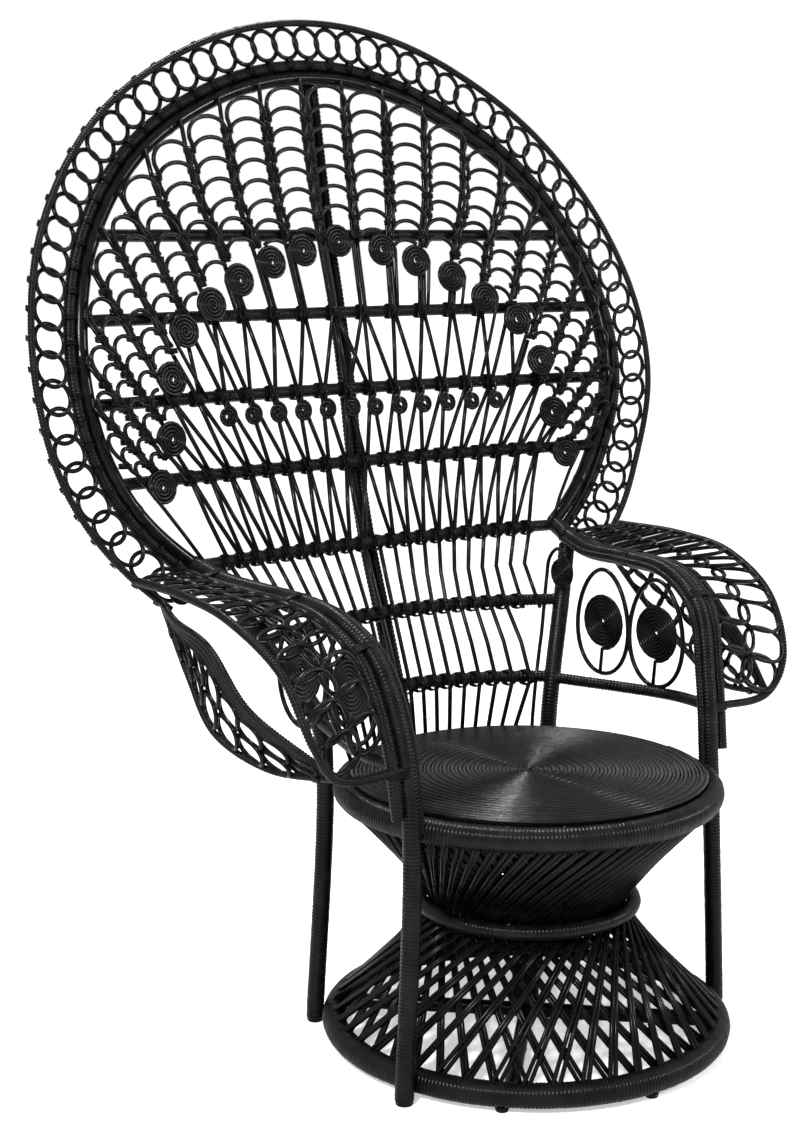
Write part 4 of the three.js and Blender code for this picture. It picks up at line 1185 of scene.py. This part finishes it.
class PEACOCK_OT_arms(bpy.types.Operator):
    """Bends and wraps the legs, the arm poles and the rear legs"""

    bl_idname = "peacock.arms"
    bl_label = "Bend Arms"

    def execute(self, context):
        s, rng = sizes(), chance()
        worn_foot, worn_height, lining_radius, lining_gap = 0.93, 0.004, 0.0055, 0.0035
        for hand, side in SIDES.items():
            routes = ArmRoutes(side)
            poles = (("arm_pole", routes.arm, s.leg_radius, 5),
                     ("outer_arm_pole", routes.outer, OUTER_ARM, 4),
                     ("rear_leg", routes.rear, s.leg_radius, 5))
            for node, route, radius, roundness in poles:
                points, radii = wrapped(smooth(route), rng, radius)
                if node != "outer_arm_pole":
                    radii = [r * (worn_foot if p.z < worn_height else 1)
                             for p, r in zip(points, radii)]
                make_piece(f"{node}_{hand}_wrapped", [points], radius, material_of("wrap"),
                           [f"{node}_{hand}"], roundness=roundness, radii=[radii])
            inward = ACROSS * side * (s.leg_radius + lining_gap)
            lining, radii = wrapped([p - inward for p in smooth(routes.arm[1:-2])], rng,
                                    lining_radius)
            make_piece(f"arm_lining_{hand}", [lining], lining_radius, material_of("wrap"),
                       [f"arm_pole_{hand}"], roundness=3, radii=[radii])
            self.bindings(hand, routes)
        return {"FINISHED"}

    def bindings(self, hand, routes):
        """Ties that hold the outer pole against the arm's main pole."""
        arm, outer = smooth(routes.arm[:-2]), smooth(routes.outer)
        tie_shares, over, turns, pitch = (0.08, 0.36, 0.62, 0.9), 0.001, 4, 0.0028
        ties = []
        for share in tie_shares:
            centre, way = along_route(outer, share)
            near = min(arm, key=lambda p: (p - centre).length)
            ties.append(belt(near, sizes().leg_radius + over, centre, OUTER_ARM + over, way,
                             turns, pitch))
        make_piece(f"arm_ties_{hand}", ties, ARM_TIE, material_of("tie"), roundness=1)


class PEACOCK_OT_wings(bpy.types.Operator):
    """Weaves the open wings beside the arms and the leaves under them"""

    bl_idname = "peacock.wings"
    bl_label = "Weave Wings"

    def execute(self, context):
        rng = chance()
        wing_fullness, edge_fullness = 0.0003, 0.0005
        beside_shares = (-0.11, -0.21, -0.31)
        for hand, side in SIDES.items():
            routes = ArmRoutes(side)
            pole, windings = wrapped(smooth(routes.wing), rng, WING_POLE, SLIM_WRAP_PITCH)
            make_piece(f"wing_pole_{hand}", [pole], WING_POLE + wing_fullness,
                       material_of("wrap"), [f"wing_{hand}"], roundness=3, radii=[windings])
            inner, outer = smooth(routes.outer[:-1]), smooth(routes.wing_top)
            rings = self.lace(inner, outer, rows=13, begin=0.01, end=0.99, inner_edge=0.07,
                              outer_edge=0.03)
            make_piece(f"wing_rings_{hand}", rings, canes_of().ring_radius, material_of("cane"),
                       [f"wing_{hand}"], closed=True)
            far, near = smooth(routes.side_outer), smooth(routes.side_inner)
            edges, radii = [], []
            beside = [self.between(near, far, share) for share in beside_shares]
            for route in (far, near, *beside):
                points, windings = wrapped(route, rng, SIDE_EDGE, SLIM_WRAP_PITCH)
                edges.append(points)
                radii.append(windings)
            make_piece(f"leaf_edges_{hand}", edges, SIDE_EDGE + edge_fullness,
                       material_of("wrap"), [f"side_leaf_{hand}"], roundness=3, radii=radii)
            rings = self.lace(far, near, rows=9, begin=0.08, end=0.92, inner_edge=0.04,
                              outer_edge=0.03)
            make_piece(f"leaf_rings_{hand}", rings, canes_of().ring_radius, material_of("cane"),
                       [f"side_leaf_{hand}"], closed=True)
        return {"FINISHED"}

    def between(self, near, far, share):
        """A route that lies a share of the way from one edge of the leaf to the other."""
        count = len(near) - 1
        return [along_route(near, i / count)[0].lerp(along_route(far, i / count)[0], share)
                for i in range(count + 1)]

    def lace(self, inner, outer, rows, begin, end, inner_edge, outer_edge):
        """Two columns of squarish rings, each overlapping its neighbours on every side."""
        growth, overlap_share, half_length_share, side_lift = 1.15, 0.05, 0.6, 0.0025
        rings = []
        edges = [begin + (end - begin) * (row / rows) ** growth for row in range(rows + 1)]
        columns = ((inner_edge, 0.5 + overlap_share), (0.5 - overlap_share, 1 - outer_edge))
        for first, last in zip(edges, edges[1:]):
            for low, high in columns:
                middle = (low + high) / 2
                centre, along, across, front = self.axes(inner, outer, (first + last) / 2, middle)
                width = across.length * (high - low) / 2
                before = self.axes(inner, outer, first, middle)[0]
                after = self.axes(inner, outer, last, middle)[0]
                length = (after - before).length * half_length_share
                across = across.normalized()
                ring = []
                for k in range(RING_POINTS):
                    angle = 2 * math.pi * k / RING_POINTS
                    lift = RING_LIFT * math.cos(angle) + side_lift * math.sin(angle)
                    ring.append(centre + across * width * self.squared(math.sin(angle))
                                + along * length * self.squared(math.cos(angle)) + front * lift)
                rings.append(ring)
        return rings

    def squared(self, share):
        """Bends a circle's sine towards a square with round corners."""
        fullness = 0.8
        return math.copysign(abs(share) ** fullness, share)

    def axes(self, inner, outer, share, across_share):
        """Centre and directions of a ring between two routes; the second spans them both."""
        a, way = along_route(inner, min(max(share, 0), 1))
        b, other = along_route(outer, min(max(share, 0), 1))
        across = b - a
        along = (way + other).normalized()
        along = (along - across.normalized() * along.dot(across.normalized())).normalized()
        return a.lerp(b, across_share), along, across, along.cross(across).normalized()


class PEACOCK_OT_scrolls(bpy.types.Operator):
    """Curls the scrolls inside each arm and lays the rail under them"""

    bl_idname = "peacock.scrolls"
    bl_label = "Curl Arm Scrolls"

    def execute(self, context):
        s, rng = sizes(), chance()
        rail_pitch, under_arm = 0.006, 0.001
        for hand, side in SIDES.items():
            routes = ArmRoutes(side)
            z = s.seat_height + RAIL_RISE
            front = routes.place((ARM[-1][0], ARM[-1][1], 0))
            rear = routes.place(POST[0])
            front.z = rear.z = z
            middle = Vector((side * (s.rim_radius + s.rim_tube + RAIL), 0, z))
            rail, windings = wrapped(smooth([front, middle, rear]), rng, RAIL, rail_pitch)
            node = f"arm_scrolls_{hand}"
            make_piece(f"arm_rail_{hand}", [rail], RAIL, material_of("wrap"), [node],
                       roundness=3, radii=[windings])
            bottom = z + RAIL / 2
            top = s.seat_height + ARM_RISE - s.leg_radius - under_arm
            coils, loops = self.looped_coils(side, bottom, top)
            coils += self.rear_curl(side, z, routes)
            make_piece(f"arm_coils_{hand}", coils, ARM_COIL_CANE, material_of("cane"), [node])
            make_piece(f"arm_loops_{hand}", loops, ARM_LOOP_CANE, material_of("cane"), [node],
                       closed=True)
        return {"FINISHED"}

    def looped_coils(self, side, bottom, top):
        """Two coils between rail and arm, each in a loop that is fuller below."""
        shares, spread = (0.12, 0.52), 0.29
        heart, radius, pitch, per_turn = 0.003, 0.044, 0.0058, 20
        tail_short, tail_aside = 0.004, 0.004
        loop_half_width, taper, loop_inset, steps = 0.058, 0.12, 0.003, 40
        half = (top - bottom) / 2
        coils, loops = [], []
        for share in shares:
            centre = Vector((side * spread, share * ARM_LENGTH, (top + bottom) / 2))
            points = coil(centre, -UP, ALONG, heart, radius, pitch, per_turn)
            points.append(centre - UP * (half - tail_short) + ALONG * tail_aside)
            coils.append(points)
            loop = []
            for k in range(steps):
                angle = 2 * math.pi * k / steps
                width = loop_half_width * (1 - taper * math.sin(angle))
                loop.append(centre + ALONG * width * math.cos(angle)
                            + UP * (half - loop_inset) * math.sin(angle))
            loops.append(loop)
        return coils, loops

    def rear_curl(self, side, rail_height, routes):
        """A small coil before the rear leg, and its bow that runs down beside the leg."""
        spread, place, rise = 0.285, 0.25, 0.158
        heart, radius, pitch, per_turn = 0.004, 0.026, 0.0056, 16
        tail_up, tail_forward = 0.04, 0.008
        bow_shape = ((-0.01, 0.034), (0.012, 0.038), (0.03, 0.02), (0.036, -0.012))
        inside_leg, behind_leg, into_rim, bow_length, stride = 0.022, 0.014, 0.014, 0.09, 6
        centre = Vector((side * spread, place, rail_height + rise))
        curl = coil(centre, UP, ALONG, heart, radius, pitch, per_turn)
        curl.append(centre + UP * tail_up - ALONG * tail_forward)
        low, high = sizes().seat_height - into_rim, centre.z - bow_length
        beside = [p + Vector((-side * inside_leg, behind_leg, 0)) for p in smooth(routes.rear)
                  if low < p.z < high]
        bow = [centre + ALONG * along + UP * up for along, up in bow_shape]
        return [curl, smooth([*bow, *beside[:0:-stride], beside[0]])]


# Stage


class PEACOCK_OT_stage(bpy.types.Operator):
    """Sets the white floor, the studio lamps and the camera"""

    bl_idname = "peacock.stage"
    bl_label = "Set Stage"

    def execute(self, context):
        stage = context.scene.peacock_stage
        context.scene.view_settings.view_transform = "Standard"
        self.floor(stage)
        self.world(context.scene)
        self.lamp("key_lamp", (-2.8, -1.73, 3.0), (0, 0, 0.8), size=0.4, power=170)
        self.lamp("fill_lamp", (2.6, -2.53, 2.2), (0, 0, 0.8), size=0.5, power=80)
        self.lamp("top_lamp", (0.1, 0.77, 3.4), (0, 0, 0.6), size=0.42, power=125)
        lens = bpy.data.cameras.new("photo_camera")
        lens.sensor_width = 36
        lens.lens = stage.focal_length
        camera = bpy.data.objects.new("photo_camera", lens)
        camera.location = stage.camera_place
        camera.rotation_mode = "QUATERNION"
        camera.rotation_quaternion = Vector(stage.camera_aim).to_track_quat("-Z", "Y")
        context.scene.collection.objects.link(camera)
        context.scene.camera = camera
        return {"FINISHED"}

    def floor(self, stage):
        bm = bmesh.new()
        bmesh.ops.create_grid(bm, x_segments=1, y_segments=1, size=30)
        mesh = bpy.data.meshes.new("floor")
        bm.to_mesh(mesh)
        bm.free()
        material = bpy.data.materials.new("white_floor")
        material.use_nodes = True
        shader = material.node_tree.nodes["Principled BSDF"]
        shader.inputs["Base Color"].default_value = (*stage.floor_colour, 1)
        shader.inputs["Roughness"].default_value = 0.1
        shader.inputs["Specular IOR Level"].default_value = 0.5
        shader.inputs["Emission Color"].default_value = (1, 1, 1, 1)
        nodes, links = material.node_tree.nodes, material.node_tree.links
        path = nodes.new("ShaderNodeLightPath")
        glow = nodes.new("ShaderNodeMath")
        glow.operation = "MULTIPLY"
        glow.inputs[1].default_value = 0.45
        links.new(path.outputs["Is Camera Ray"], glow.inputs[0])
        links.new(glow.outputs[0], shader.inputs["Emission Strength"])
        mesh.materials.append(material)
        floor = bpy.data.objects.new("floor", mesh)
        bpy.context.scene.collection.objects.link(floor)

    def world(self, scene):
        world = bpy.data.worlds.new("white_studio")
        world.use_nodes = True
        nodes, links = world.node_tree.nodes, world.node_tree.links
        back = nodes["Background"]
        back.inputs["Color"].default_value = (1, 1, 1, 1)
        path = nodes.new("ShaderNodeLightPath")
        seen = nodes.new("ShaderNodeMath")
        seen.operation = "MAXIMUM"
        links.new(path.outputs["Is Camera Ray"], seen.inputs[0])
        links.new(path.outputs["Is Glossy Ray"], seen.inputs[1])
        any_seen = nodes.new("ShaderNodeMath")
        any_seen.operation = "MAXIMUM"
        links.new(seen.outputs[0], any_seen.inputs[0])
        links.new(path.outputs["Is Transmission Ray"], any_seen.inputs[1])
        level = nodes.new("ShaderNodeMapRange")
        level.inputs["To Min"].default_value = 0.8
        level.inputs["To Max"].default_value = 1.0
        links.new(any_seen.outputs[0], level.inputs["Value"])
        links.new(level.outputs["Result"], back.inputs["Strength"])
        scene.world = world

    def lamp(self, name, place, aim, size, power):
        light = bpy.data.lights.new(name, "AREA")
        light.size = size
        light.energy = power
        lamp = bpy.data.objects.new(name, light)
        lamp.location = place
        lamp.rotation_mode = "QUATERNION"
        lamp.rotation_quaternion = (Vector(aim) - Vector(place)).to_track_quat("-Z", "Y")
        bpy.context.scene.collection.objects.link(lamp)


class PEACOCK_PT_panel(bpy.types.Panel):
    """Buttons for each group of the chair's pieces"""

    bl_idname = "PEACOCK_PT_panel"
    bl_label = "Peacock Chair"
    bl_space_type = "VIEW_3D"
    bl_region_type = "UI"
    bl_category = "Peacock Chair"

    def draw(self, context):
        layout = self.layout
        for operator in OPERATORS:
            layout.operator(operator.bl_idname)
        for settings in SETTINGS:
            group = getattr(context.scene, settings)
            box = layout.box()
            for name in group.__annotations__:
                box.prop(group, name)


SETTINGS = {
    "peacock_sizes": ChairSizes,
    "peacock_canes": CaneSizes,
    "peacock_finish": Finish,
    "peacock_stage": Stage,
}
OPERATORS = (
    PEACOCK_OT_stage, PEACOCK_OT_seat, PEACOCK_OT_base, PEACOCK_OT_hoops,
    PEACOCK_OT_ring_border, PEACOCK_OT_bars, PEACOCK_OT_stakes, PEACOCK_OT_columns,
    PEACOCK_OT_spirals, PEACOCK_OT_arms, PEACOCK_OT_wings, PEACOCK_OT_scrolls,
)


def register():
    for cls in (*SETTINGS.values(), *OPERATORS, PEACOCK_PT_panel):
        bpy.utils.register_class(cls)
    for name, cls in SETTINGS.items():
        setattr(bpy.types.Scene, name, PointerProperty(type=cls))


def unregister():
    for name in SETTINGS:
        delattr(bpy.types.Scene, name)
    for cls in reversed((*SETTINGS.values(), *OPERATORS, PEACOCK_PT_panel)):
        bpy.utils.unregister_class(cls)


def main():
    register()
    for operator in OPERATORS:
        group, action = operator.bl_idname.split(".")
        getattr(getattr(bpy.ops, group), action)()


if __name__ == "__main__":
    main()
